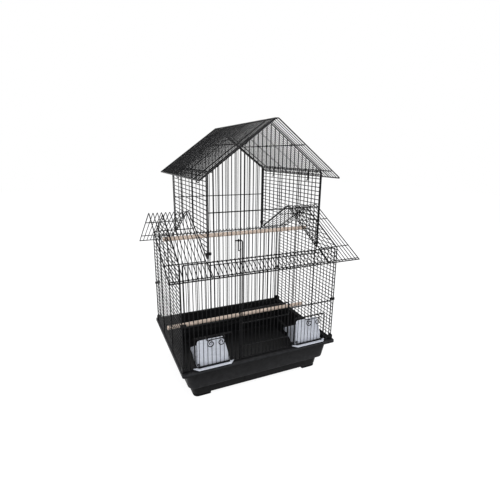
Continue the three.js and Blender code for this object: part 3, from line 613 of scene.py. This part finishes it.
def crossings(a, b):
    """Points where lines a cross lines b: p + s d = q + t e, solved for all pairs at once."""
    p, d = a[:, None, 0], (a[:, 1] - a[:, 0])[:, None]
    q, e = b[None, :, 0], (b[:, 1] - b[:, 0])[None]
    det = cross(d, e)
    det = np.where(np.abs(det) < 1e-9, np.nan, det)
    s, t = cross(q - p, e) / det, cross(q - p, d) / det
    hit = (s > -0.001) & (s < 1.001) & (t > -0.001) & (t < 1.001)
    return (p + s[..., None] * d)[hit]


def wire_rods(pairs, diameter, height=0.0):
    """Straight wires between plane points, each with its own slight bow."""
    bow = rng.uniform(-BOW, BOW, len(pairs))
    return rods(raised(pairs[:, 0], height), raised(pairs[:, 1], height), diameter, bow)


def wire_panel(outline, infill, crosses=None, layer=1, posts=None, headers=None, closed=True,
               border=FRAME, thin=INFILL + COAT, level=CROSS):
    """Parts of one panel in its own plane: border, wires, posts, headers, cross wires and beads."""
    outline = np.asarray(outline, float)
    parts = [wire(bent(raised(outline, 0), 4.0, closed=closed), border, closed=closed)]
    touch = 0.4 * layer if crosses is not None else 0.0
    parts.append(wire_rods(infill, thin, touch))
    along = unit(infill[:, 1] - infill[:, 0])
    parts.append(beads(raised(infill[:, 0] + along * 1.5, touch), BEAD))
    parts.append(beads(raised(infill[:, 1] - along * 1.5, touch), BEAD))
    for stout in (posts, headers):
        if stout is not None:
            parts.append(wire_rods(stout, POST if stout is posts else HEADER))
    if headers is not None:
        parts.append(beads(raised(crossings(headers, posts), 0), BEAD * 1.25))
    if crosses is not None:
        parts.append(wire_rods(crosses, level + COAT, (LAYER + (level - CROSS) / 2) * layer))
        parts.append(beads(raised(crossings(infill, crosses), 1.35 * layer), [1.3, 1.3, 0.75]))
        if posts is not None:
            parts.append(beads(raised(crossings(posts, crosses), 1.5 * layer), [1.6, 1.6, 0.8]))
    return parts


def wirework(name, parts, body, *replaced):
    """Makes a piece of coated black wire that replaces CAD nodes."""
    make(name, parts, black_wire, body, "black_wire", *replaced)


def panel(node, parts, place):
    """Places a panel's parts and makes the piece that replaces the CAD node of that panel."""
    wirework("wires_" + node, placed(parts, place), "cage", node)


# %% [markdown]
# ## Base walls
# The front has a lift door's opening in the middle, with a feeder opening on each side of it. The
# posts beside the door carry it, so they are stouter wire. The side walls run their
# wires level and rise to a gable that closes the room under the lower roof.

# %%
DOOR_POST, FEED_IN, FEED_OUT = 6.5 * PITCH, 8.5 * PITCH, 17.5 * PITCH
FEED_MID = (FEED_IN + FEED_OUT) / 2
DOOR_HEADER, FEED_HEADER = RIM + 143, RIM + 88
BASE_CROSS, TOWER_CROSS = RIM + 122, RIM + 403
both = np.array([-1.0, 1.0])

free = pitches(-BASE_HALF, BASE_HALF, 0.5)
out = np.abs(free)
free, out = free[np.abs(out - DOOR_POST) > PITCH / 2], out[np.abs(out - DOOR_POST) > PITCH / 2]
foot = np.where(out < DOOR_POST, DOOR_HEADER,
                np.where((out > FEED_IN + 1) & (out < FEED_OUT - 1), FEED_HEADER, SILL))
upright = np.concatenate([lines(free, foot, free, SHOULDER),
                          lines(both * FEED_IN, FEED_HEADER, both * FEED_OUT, FEED_HEADER)])
base_outline = rectangle(-BASE_HALF, SILL, BASE_HALF, SHOULDER)
panel("base_front_panel", wire_panel(
    base_outline, upright, layer=-1, level=LEVEL_WIRE,
    crosses=lines(both * DOOR_POST, BASE_CROSS, both * BASE_HALF, BASE_CROSS),
    posts=lines(both * DOOR_POST, SILL, both * DOOR_POST, SHOULDER),
    headers=lines(-DOOR_POST, DOOR_HEADER, DOOR_POST, DOOR_HEADER)), standing("front", WALL))

rear = pitches(-BASE_HALF, BASE_HALF, 0.5)
stout = np.abs(np.abs(rear) - TOWER_HALF) < PITCH / 2
panel("base_back_panel", wire_panel(
    base_outline, lines(rear[~stout], SILL, rear[~stout], SHOULDER),
    posts=lines(rear[stout], SILL, rear[stout], SHOULDER)), standing("back", WALL))


# %%
def base_side():
    """Level wires under a gable, a stouter one level with the clips, and two posts outside."""
    peak, corner = under_roof(LOWER_RIDGE, LOWER, 0), under_roof(LOWER_RIDGE, LOWER, WALL)
    outline = [(-WALL, SILL), (WALL, SILL), (WALL, corner), (0, peak), (-WALL, corner)]
    count = np.arange(1, int((peak - LEVEL_PITCH / 2 - SILL) / LEVEL_PITCH) + 1)
    v = SILL + count * LEVEL_PITCH
    reach = np.where(v < corner, WALL, WALL * (peak - v) / (peak - corner))
    level = lines(-reach, v, reach, v)
    top = peak - SIDE_POST * (peak - corner) / WALL
    return wire_panel(outline, level[count != CLIP_LEVEL], posts=level[count == CLIP_LEVEL],
                      crosses=lines(both * SIDE_POST, SILL, both * SIDE_POST, top))


for side in ("left", "right"):
    panel(f"base_{side}_panel", base_side(), standing(side, BASE_SIDE))

# %% [markdown]
# ## Tower walls
# The tower's front and back are upright wires under a gable, and they stand on the top rail of the
# base walls, so that one thin line shows at the shoulder. Their borders stand close beside those of
# the side walls, and the two wires look like one stout corner post. Its sides straddle the lower
# roof: their border follows the two slopes, and the level wires stop there.


# %%
TOWER_FOOT = LOWER_RIDGE - WALL * np.tan(LOWER)
TOWER_EDGE = TOWER_SIDE - FRAME - GAP


def tower_gable():
    """Upright wires under a gable, with one level wire outside that the door's catch hangs on."""
    peak, corner = under_roof(UPPER_RIDGE, UPPER, 0), under_roof(UPPER_RIDGE, UPPER, TOWER_EDGE)
    foot = SHOULDER + FRAME / 4
    outline = [(TOWER_EDGE, foot), (TOWER_EDGE, corner), (0, peak), (-TOWER_EDGE, corner),
               (-TOWER_EDGE, foot)]
    u = pitches(-TOWER_HALF, TOWER_HALF, 0.5)
    top = peak - np.abs(u) * (peak - corner) / TOWER_EDGE
    return wire_panel(outline, lines(u, foot, u, top), closed=False,
                      crosses=lines(-TOWER_EDGE, TOWER_CROSS, TOWER_EDGE, TOWER_CROSS))


def tower_side():
    """Level wires whose feet follow the lower roof, and two posts outside."""
    outline = [(-WALL, EAVE), (-WALL, TOWER_FOOT), (0, LOWER_RIDGE), (WALL, TOWER_FOOT),
               (WALL, EAVE)]
    v = SILL + np.arange(0, 60) * LEVEL_PITCH
    v = v[(v >= TOWER_FOOT + LEVEL_PITCH / 2) & (v < EAVE - LEVEL_PITCH / 2)]
    high, low = v[v > LOWER_RIDGE + FRAME], v[v <= LOWER_RIDGE + FRAME]
    reach = np.maximum((LOWER_RIDGE - low) / np.tan(LOWER), FRAME)
    level = np.concatenate([lines(-WALL, high, WALL, high), lines(-WALL, low, -reach, low),
                            lines(reach, low, WALL, low)])
    post_foot = LOWER_RIDGE - SIDE_POST * np.tan(LOWER)
    return wire_panel(outline, level,
                      crosses=lines(both * SIDE_POST, post_foot, both * SIDE_POST, EAVE))


for side in ("front", "back"):
    panel(f"tower_{side}_panel", tower_gable(), standing(side, WALL))
for side in ("left", "right"):
    panel(f"tower_{side}_panel", tower_side(), standing(side, TOWER_SIDE))

# %% [markdown]
# ## Lower roof
# On each side of the tower the roof is a bay of wires that are each bent over the ridge, with no
# rail there, so the ridge is a row of small peaks. A smooth bend has a handy formula: the square
# root of y squared plus a small length squared is rounded at y = 0 and straight away from it.
# Cross wires lie under the wires and rest on the walls. A skirt before and behind the tower
# carries the eave from bay to bay.

# %%
LOWER_FOOT = -LOWER_RUN / np.cos(LOWER)
INNER = TOWER_SIDE + LAYER + CROSS / 2 + GAP + FRAME / 2
OUTER = BASE_SIDE + 36
SKIRT_HALF = INNER - FRAME - GAP
EAVE_CROSS = LOWER_FOOT + 7.6
UNDER = LAYER - 0.35


def over_wall(reach, slope):
    """Distance from the ridge, down the slope, of a cross wire straight above a wall."""
    return (reach + LAYER * np.sin(slope)) / np.cos(slope)


def ridge_wire(x, diameter):
    """A wire over the ridge: height falls by the slope times the rounded distance from the ridge,
    and x sways by a sine along each slope."""
    y = np.linspace([-LOWER_RUN, -6, 9], [-9, 6, LOWER_RUN], 9, axis=1).ravel()
    z = LOWER_RIDGE - np.tan(LOWER) * np.sqrt(y ** 2 + 2.2 ** 2)
    sway = rng.uniform(-BOW, BOW) * np.sin(np.pi * np.abs(y) / LOWER_RUN)
    return wire(stacked(x + sway, y, z), diameter, sides=10)


def slope_levels(low, high, wires, crosses, side):
    """Eave rail and cross wires of one slope, with a bead where each crosses a wire."""
    v = np.asarray(crosses)
    across, slopes = lines(low, v, high, v), lines(wires, LOWER_FOOT, wires, -20)
    parts = [wire_rods(lines(low - 1.6, LOWER_FOOT, high + 1.6, LOWER_FOOT), FRAME),
             wire_rods(across, CROSS, -UNDER),
             beads(raised(crossings(slopes, across), -1.2), [1.3, 1.3, 0.75]),
             beads(raised(slopes[:, 0], 0), [1.35, 2.2, 1.3])]
    return placed(parts, leaning(side, LOWER, LOWER_RIDGE))


LOWER_CROSSES = [LOWER_FOOT * 0.285, -over_wall(WALL, LOWER), EAVE_CROSS]
for name, low, high in (("left", -OUTER, -INNER), ("right", INNER, OUTER)):
    wires = np.concatenate([[low], evenly(low, high), [high]])
    parts = [ridge_wire(x, POST if x in (low, high) else INFILL + COAT) for x in wires]
    parts += slope_levels(low, high, wires, LOWER_CROSSES, "front")
    parts += slope_levels(-high, -low, -wires, LOWER_CROSSES, "back")
    wirework(f"bent_bay_{name}", parts, "cage", f"lower_roof_{name}")

SKIRT_TOP = -(WALL + FRAME / 2 + GAP + POST / 2 * (np.cos(LOWER) + np.sin(LOWER))) / np.cos(LOWER)
wires = np.concatenate([[-SKIRT_HALF], pitches(-SKIRT_HALF, SKIRT_HALF, 0), [SKIRT_HALF]])
for side in ("front", "back"):
    slopes = leaning(side, LOWER, LOWER_RIDGE)
    parts = [moved(wire_rods(lines(wires, LOWER_FOOT, wires, SKIRT_TOP), INFILL + COAT), slopes)]
    skirt_crosses = [-over_wall(WALL + 13, LOWER), EAVE_CROSS]
    parts += slope_levels(-SKIRT_HALF, SKIRT_HALF, wires, skirt_crosses, side)
    wirework(f"skirt_{side}", parts, "cage", f"{side}_skirt_roof")

# %% [markdown]
# ## Upper roof
# The upper roof is two framed slopes. Their top rails lie side by side and make the one firm
# ridge line of the cage, from front to back.

# %%
UPPER_TOP = -(FRAME / 2 + (GAP / 2 + FRAME / 2 * np.sin(UPPER)) / np.cos(UPPER))
UPPER_FOOT = -UPPER_RUN / np.cos(UPPER)
slope_wires = evenly(-UPPER_HALF, UPPER_HALF)
nearest = [np.argmin(np.abs(slope_wires - t)) for t in (-WALL, -SIDE_POST, SIDE_POST, WALL)]
thin, stout = np.delete(slope_wires, nearest), slope_wires[nearest]
crosses = np.array([UPPER_FOOT * 0.41, -over_wall(TOWER_SIDE, UPPER)])
for side in ("left", "right"):
    panel(f"upper_roof_{side}", wire_panel(
        rectangle(-UPPER_HALF, UPPER_FOOT, UPPER_HALF, UPPER_TOP),
        lines(thin, UPPER_FOOT, thin, UPPER_TOP), posts=lines(stout, UPPER_FOOT, stout, UPPER_TOP),
        crosses=lines(-UPPER_HALF, crosses, UPPER_HALF, crosses), layer=-1, thin=INFILL),
        leaning(side, UPPER, UPPER_RIDGE))

# %% [markdown]
# ## Lift door and feeder doors
# A door is a small panel that slides up before the wall. Its guides are short bent wires: each is
# welded to the door's side wire and reaches back round the post. The main door hangs on a long rod.

# %%
LIP_TOP = SILL + FRAME / 2 + GAP + 2.5
DOOR_SILL = LIP_TOP + GAP + FRAME / 2


def guide(sign):
    """A wire from before the door's side, round it and round the post: across, up, outwards."""
    side, rear = sign * (FRAME / 2 + GAP + 1), -(FRAME + GAP + POST / 2 + GAP + 1)
    path = bent([(-sign * 0.4, 0, 2.6), (side, 0, 2.6), (side, 0, rear), (-sign, 0, rear)], 2.0)
    return [wire(path, 2.0, sides=10), beads([(sign * 1.9, 0, 0.6)], [1.0, 1.5, 1.4])]


def grille(low, high, top, wires, crosses, guides, **sizes):
    """A framed grille with cross wires outside and guides on both sides."""
    cross_lines = lines(low, crosses, high, crosses) if len(crosses) else None
    parts = wire_panel(rectangle(low, DOOR_SILL, high, top), lines(wires, DOOR_SILL, wires, top),
                       crosses=cross_lines, **sizes)
    for v in guides:
        for u, sign in ((low, -1), (high, 1)):
            parts += placed(guide(sign), shift(u, v, 0))
    return placed(parts, standing("front", DOOR_FACE))


LOW_GUIDE = DOOR_SILL + 6
door_crosses = DOOR_SILL + np.array([0.25, 0.75]) * (DOOR_HEADER - DOOR_SILL)
door_guides = [f"door_guide_{height}_{side}"
               for side in ("left", "right") for height in ("low", "high")]
door = grille(-DOOR_POST, DOOR_POST, DOOR_HEADER, pitches(-DOOR_POST, DOOR_POST, 0.5), door_crosses,
              [LOW_GUIDE, DOOR_HEADER - 6])
wirework("lift_door", door, "door", "front_door", *door_guides)

ROD_WIRE, HANDLE, ROD_TOP = 3.4, 20, SHOULDER + 50
ROD = np.array([-6.3 * PITCH, -(DOOR_FACE + LAYER + CROSS / 2 + GAP + ROD_WIRE / 2), 0])
rod_path = bent([(0, 0, DOOR_SILL), (0, 0, ROD_TOP), (-HANDLE, 0, ROD_TOP)], 6.0, steps=10)
welds = beads([(0, 1.75, v) for v in door_crosses], [2.4, 0.8, 1.5], 8)
rod = placed([wire(rod_path, ROD_WIRE, sides=16), welds], shift(*ROD))
wirework("lift_rod", rod, "door", "door_lift_rod")

# %% [markdown]
# The catch is one wire: an open eye bent round the handle, a straight shank, and a curl at its foot
# that hooks on to the tower's level wire when the door is up.

# %%
EYE, CURL = ROD_WIRE / 2 + GAP + 1.1, 3.2
t = np.linspace(np.radians(-60), np.radians(255), 30)[::-1]
eye = stacked(0, EYE * np.cos(t), EYE * np.sin(t))
t = np.linspace(0, 1.25 * np.pi, 18)
shank_foot = -EYE - 20 + 0.2
curl = stacked(CURL * (1 - np.cos(t)), 0, shank_foot - CURL * np.sin(t))
shank = stacked(0, 0, np.linspace(-EYE - 2.5, shank_foot + 1, 8))
catch = wire(np.concatenate([eye, shank, curl]), 2.2, sides=12)
catch = moved(catch, shift(ROD[0] - 10.5, ROD[1], ROD_TOP))
wirework("catch_hook", [catch], "hook", "door_catch_hook")

# %% [markdown]
# Each feeder door has a pull: a wire bent forward from the door's top rail, with two scrolls under
# it. A scroll is an Archimedean spiral, whose radius shrinks in step with its angle.

# %%
SCROLL, SCROLL_PLACE, PULL_HALF, PULL_STAND, PULL_WIRE = 10.2, 13.6, 23.8, 16, 2.4
turns = np.linspace(0, 4 * np.pi, 40)
keeper = stacked(3.2 * np.cos(turns), np.linspace(-1.6, 1.6, 40), 3.2 * np.sin(turns) * 0.8)
keeper = wire(keeper, 1.5, sides=8)


def scroll(sign):
    """A spiral that starts at the bar, flat in the plane of the pull, 1.4 turns."""
    t = np.linspace(0, 1, 40)
    radius, angle = SCROLL * (1 - 0.7 * t), np.pi / 2 - sign * t * 2.8 * np.pi
    return stacked(radius * np.cos(angle), 0, radius * np.sin(angle) - SCROLL)


def pull_parts():
    """The bent bar, and for each half a scroll, the weld over it and the weld on the door."""
    bar = bent([(-PULL_HALF, PULL_STAND, 0), (-PULL_HALF, 0, 0), (PULL_HALF, 0, 0),
                (PULL_HALF, PULL_STAND, 0)], 3.0)
    parts = [wire(bar, PULL_WIRE)]
    for end in (-1, 1):
        parts += [moved(wire(scroll(end), PULL_WIRE), shift(end * SCROLL_PLACE, 0, -1.0)),
                  beads([(end * SCROLL_PLACE, 0, -1.3)], [2.2, 1.2, 1.0], 8),
                  beads([(end * PULL_HALF, PULL_STAND - 0.1, 0)], [1.8, 0.5, 1.8], 8)]
    return parts


pull_face = DOOR_FACE + FRAME / 2 + GAP + PULL_STAND
for side, sign, low, high in (("left", -1, -FEED_OUT, -FEED_IN), ("right", 1, FEED_IN, FEED_OUT)):
    door = grille(low, high, FEED_HEADER, pitches(low, high, 0.5), [], [LOW_GUIDE],
                  border=FINE_WIRE + 0.5, thin=FINE_WIRE)
    door.append(moved(keeper, shift(sign * FEED_MID - 42, -DOOR_FACE - 0.4, LOW_GUIDE + 0.5)))
    body = f"{side}_feeder_door"
    wirework(f"feeder_grille_{side}", door, body, f"feeder_door_{side}",
             f"feeder_guide_{side}_inner", f"feeder_guide_{side}_outer")
    pull = placed(pull_parts(), shift(sign * FEED_MID, -pull_face, FEED_HEADER + 1))
    wirework(f"scroll_pull_{side}", pull, body, f"feeder_pull_{side}")

# %% [markdown]
# ## Pan
# The pan is vacuum formed or moulded from one sheet: a flat flange with a turned-down edge, a wall
# that draws in to a ledge low on it, and a floor. Its surface is a profile, inset and height,
# carried round a rounded rectangle. Every bend of the profile has a fillet.

# %%
PAN = (BASE_SIDE + 6.1, WALL + 13.5)
LEDGE, UNDER_RIM = 38, 97.4
profile = np.array([  # inset from the rim's edge, height, corner radius
    (62, 7, 18), (36.5, 7, 18), (31.5, LEDGE, 18), (21.5, LEDGE, 18), (12.5, UNDER_RIM, 18),
    (2, UNDER_RIM, 6), (2, RIM - 9, 6), (0, RIM - 9, 5), (0, RIM, 5), (15, RIM, 15.5),
    (24, LEDGE + 2.5, 15.5), (34, LEDGE + 2.5, 15.5), (39, 9.5, 15.5), (64, 9.5, 15.5)])
bends = [0, 4, 2.2, 2.5, 1.5, 1.0, 0.8, 0.9, 2.0, 2.4, 3.0, 2.6, 5.0, 0]


def rounded_profile(points, radii, steps=5):
    """A profile whose corners are replaced by curves of the given reach, kept in all its values."""
    out = [points[:1]]
    for i in range(1, len(points) - 1):
        here, before, after = points[i], points[i - 1], points[i + 1]
        size = [np.linalg.norm((q - here)[:2]) for q in (before, after)]
        p = here + (before - here) * min(radii[i] / size[0], 0.49)
        q = here + (after - here) * min(radii[i] / size[1], 0.49)
        out.append(curve(p, here, q, steps))
    out.append(points[-1:])
    return np.concatenate(out)


def eased(outline, reach, steps):
    """A closed outline with a curve at every corner; it starts in the middle of its last edge."""
    outline = np.asarray(outline, float)
    middle = (outline[-1:] + outline[:1]) / 2
    reach = np.concatenate([[0], np.broadcast_to(reach, len(outline)), [0]])
    return rounded_profile(np.concatenate([middle, outline, middle]), reach, steps)[:-1]


def rounded_rectangle(half_x, half_y, radius, steps=12, spans=14):
    """Points round a rectangle with corner arcs and straight sides, for arrays of sizes at once."""
    turn = np.linspace(0, np.pi / 2, steps + 1)
    angle = np.concatenate([turn + k * np.pi / 2 for k in range(4)])
    sx, sy = np.repeat([1, -1, -1, 1], steps + 1), np.repeat([1, 1, -1, -1], steps + 1)
    x = sx * (half_x - radius)[:, None] + radius[:, None] * np.cos(angle)
    y = sy * (half_y - radius)[:, None] + radius[:, None] * np.sin(angle)
    arcs = stacked(x, y)
    ends, starts = arcs[:, steps::steps + 1], np.roll(arcs[:, ::steps + 1], -1, 1)
    share = np.linspace(0, 1, spans + 1)[1:-1, None]
    sides = ends[:, :, None] * (1 - share) + starts[:, :, None] * share
    return np.concatenate([part for k in range(4) for part in (
        arcs[:, k * (steps + 1):(k + 1) * (steps + 1)], sides[:, k])], 1)


def pan_shell():
    """Profile times outline; the long walls belly in by a hair, as thin moulded walls do."""
    line = rounded_profile(profile, bends)
    plan = rounded_rectangle(PAN[0] - line[:, 0], PAN[1] - line[:, 0], line[:, 2])
    points = np.concatenate([plan, np.broadcast_to(line[:, None, 1:2], plan.shape[:2] + (1,))], -1)
    depth = np.clip((RIM - 4 - points[..., 2]) / 30, 0, 1) * np.clip((points[..., 2] - 8) / 30, 0, 1)
    belly = 0.8 * depth * np.cos(np.clip(points[..., 0] / PAN[0], -1, 1) * np.pi / 2)
    points[..., 1] -= np.sign(points[..., 1]) * belly * (np.abs(points[..., 1]) > 100)
    rows, columns = points.shape[:2]
    return (points.reshape(-1, 3), closed_faces(rows, columns)), line


shell, pan_line = pan_shell()
FOOT, FOOT_PLACE = 48, 86
foot_plan = eased([(0, 0), (FOOT, 0), (FOOT, FOOT), (0, FOOT)], [1.5, 4, 16, 4], 8)
feet = []
for _, sx, sy in CORNERS:
    foot_part = moved(slab(foot_plan, 8.4, 1.4), to_corner(sx, sy))
    feet.append(moved(foot_part, shift(sx * (PAN[0] - FOOT_PLACE), sy * (PAN[1] - FOOT_PLACE), 0)))
pan = make("moulded_pan", [shell, *feet], black_pan, "cage", "black_pan", "base_pan", sharp=50)
# The rim's outer edge and the outer ledge's edge are lightened: a painted highlight line, with some
# rubbed wear.
highlight_wear = np.zeros(len(pan.data.vertices), np.float32)
highlight_wear_rows = np.exp(-((pan_line[:, 1] - RIM + 1) / 2.2) ** 2) * (pan_line[:, 0] < 4)
highlight_wear_rows += np.exp(-((pan_line[:, 1] - LEDGE - 1) / 2.5) ** 2) * (pan_line[:, 0] < 23) * 0.8
highlight_wear[:shell[0].shape[0]] = np.repeat(highlight_wear_rows, shell[0].shape[0] // len(pan_line))
pan.data.attributes.new("highlight_wear", "FLOAT", "POINT").data.foreach_set("value", highlight_wear)

# %% [markdown]
# ## Feeder cups
# A cup is injection moulded in glossy white plastic: a tall front plate that fills the opening, two
# sloping cheeks, a basin between them whose rear wall leans back to a ledge, and a lip outside.
# Each wall is a thin plate with rounded edges, laid out from its outline.

# %%
CUP_HALF, CUP_Y, CUP_FLOOR = 44, -(WALL - FRAME / 2 + 2), SILL + FRAME / 2 + GAP


def plate(outline, thickness, place, edge=0.7):
    """A rounded plate from a plane outline, with its corners eased, put in place by a function."""
    return moved(slab(eased(outline, 0.9, 2), thickness, edge), place)


def cup_parts():
    """Front plate, a tall and a low cheek, basin and lip, in the cup's own coordinates."""
    low, ledge = CUP_FLOOR, CUP_FLOOR + 24
    top, neck = low + 77, FRAME + GAP - 2
    face = np.concatenate([[(-43.9, low), (43.9, low)],
                           curve((43.5, low + 4), (37.5, low + 45), (24, top)),
                           curve((-36, top), (-CUP_HALF, top), (-CUP_HALF, top - 8))])
    foot = [(0, low), (26, low), (50, ledge - 8), (68, ledge - 8), (68, ledge)]
    basin = np.array([(1, low), (26, low), (50, ledge - 2), (67, ledge - 2), (67, ledge), (49, ledge),
                      (25, low + 2), (1, low + 2)], float)
    lip = np.array([(-56, -neck), (-44, -neck - 13), (44, -neck - 13), (56, -neck)], float)
    upright = lambda p: stacked(p[:, 0], 2 - p[:, 2], p[:, 1])
    sideways = lambda x: lambda p: stacked(x + p[:, 2], p[:, 0], p[:, 1])
    return [
        plate(face, 2, upright),
        plate(np.array([*foot, (0, low + 66)], float), 2, sideways(-CUP_HALF)),
        plate(np.array([*foot, (0, low + 27)], float), 2, sideways(34)),
        plate(basin, 78, sideways(-43), 0.4), plate(lip, 2.5, shift(0, 0, low)),
        plate(rectangle(-CUP_HALF, -neck - 6.5, CUP_HALF, 2), 2.5, shift(0, 0, low)),
    ]


for side, sign in (("left", -1), ("right", 1)):
    make(f"cup_{side}", placed(cup_parts(), shift(sign * FEED_MID, CUP_Y, 0)),
         white_cup, "cage", "white_cup", f"feeder_cup_{side}")

# %% [markdown]
# ## Perches
# A perch is a turned dowel, sawn to a slot at each end so that it grips a level wire. Its ends are
# eased by tumbling. The stem is a surface of revolution; each end is two half-round jaws.

# %%
DOWEL, LENGTH, SLOT = 6, 2 * (BASE_SIDE + 3), 3 + INFILL / 2 + GAP


def jaw(sign):
    """Half-round end of a dowel above or below the slot: a D section whose rim is eased."""
    low = np.arcsin((INFILL / 2 + GAP) / DOWEL)
    t = np.linspace(low, np.pi - low, 25)
    part = slab(DOWEL * stacked(np.cos(t), np.sin(t)), SLOT, 0.5)
    return moved(part, lambda p: stacked(p[:, 2], -sign * p[:, 0], sign * p[:, 1]))


def perch_parts():
    """Stem with a trace of waviness, and four jaws."""
    x, angle = np.linspace(-LENGTH / 2 + SLOT, LENGTH / 2 - SLOT, 60)[:, None], circle(40)
    radius = DOWEL - 0.12 * (1 + np.sin(x / 37.0)) / 2 * (np.abs(x) < 215)
    stem = stacked(x, radius * np.cos(angle), radius * np.sin(angle))
    jaws = [moved(jaw(s), shift(LENGTH / 2 - SLOT, 0, 0)) for s in (-1, 1)]
    stem = stem.reshape(-1, 3), closed_faces(60, 40)
    return [stem, *jaws, *placed(jaws, half_turned(-1))]


for name, count in (("upper", 28), ("lower", 4)):
    height = SILL + count * LEVEL_PITCH
    perch = make(f"dowel_{name}", placed(perch_parts(), shift(0, 0, height)),
                 perch_wood, "cage", "perch_wood", f"{name}_perch")
    co = np.empty(len(perch.data.vertices) * 3, np.float32)
    perch.data.vertices.foreach_get("co", co)
    co[2::3] -= height * 0.001
    perch.data.attributes.new("dowel", "FLOAT_VECTOR", "POINT").data.foreach_set("vector", co)

# %% [markdown]
# ## Clips, stops and roof hooks
# The panels are held together by ring clips round two corner wires, and the body is kept on the pan
# by moulded corner stops. Four bent strips under the upper roof hook it to the tower.


# %%
def ring_clip(step, height):
    """A rounded section carried round the stadium that encloses two corner wires."""
    inner = np.sqrt(2) * FRAME / 2 + GAP
    t = np.linspace(-np.pi / 2, np.pi / 2, 15)
    arc = stacked(np.cos(t), np.sin(t))
    path = np.concatenate([arc, -arc])
    centre = np.concatenate([np.tile([step, 0], (15, 1)), np.zeros((15, 2))])
    section = eased([(0, 0), (1.6, 0), (1.6, height), (0, height)], 0.55, 3)
    out = inner + section[:, 0]
    points = centre[:, None] + path[:, None] * out[None, :, None]
    z = np.broadcast_to((section[:, 1] - height / 2)[None, :, None], points.shape[:2] + (1,))
    points = np.concatenate([points, z], -1).reshape(-1, 3)
    return points, [grid_faces(30, len(section), True)[:, ::-1]]


tower_level = np.ceil((TOWER_FOOT - SILL) / LEVEL_PITCH)
for kind, half, step, level_count in (("middle", BASE_HALF, BASE_STEP, CLIP_LEVEL),
                                      ("tower", TOWER_HALF, TOWER_STEP, tower_level)):
    clip_height = SILL + (level_count + 0.5) * LEVEL_PITCH
    for corner, sx, sy in CORNERS:
        ring = moved(ring_clip(step, 6), half_turned(sx))
        make(f"ring_{kind}_{corner}", [moved(ring, shift(sx * half, sy * WALL, clip_height))],
             black_clip, "cage", "black_clip", f"{kind}_clip_{corner}")

stop_plan = eased([(0, 0), (-16, 0), (-16, -2.2), (-2.2, -2.2), (-2.2, -16), (0, -16)], 1.0, 3)
margin = FRAME / 2 + GAP + 2.2
for corner, sx, sy in CORNERS:
    stop = moved(slab(stop_plan, 12, 0.6), to_corner(sx, sy))
    stop_place = shift(sx * (BASE_SIDE + margin), sy * (WALL + margin), RIM + GAP)
    make(f"rim_stop_{corner}", [moved(stop, stop_place)], black_clip, "cage", "black_clip",
         f"corner_stop_{corner}")


# %%
STRIP = 26.8


def bent_strip():
    """A flat strip with rounded edges, carried down, round a small bend and inwards along a toe."""
    path = bent([(-1.2, 0, 0), (-1.2, 0, -STRIP), (-7, 0, -STRIP)], 2.0)
    tangent = unit(np.gradient(path, axis=0))
    normal, t = stacked(tangent[:, 2], 0, -tangent[:, 0]), circle(24)
    across = 2.0 * np.sign(np.sin(t)) * np.abs(np.sin(t)) ** 0.35
    thick = 1.2 * np.sign(np.cos(t)) * np.abs(np.cos(t)) ** 0.35
    rings = path[:, None] + thick[:, None] * normal[:, None]
    rings[..., 1] += across
    return rings.reshape(-1, 3), closed_faces(len(path), 24)


reach = TOWER_SIDE + FRAME / 2 + GAP + 2.4
for corner, sx, sy in CORNERS:
    strip_place = shift(sx * reach, sy * WALL * 0.6, EAVE + FRAME / 2)
    strip = placed([bent_strip()], half_turned(sx), strip_place)
    wirework(f"hook_strip_{corner}", strip, "cage", f"roof_hook_{corner}")
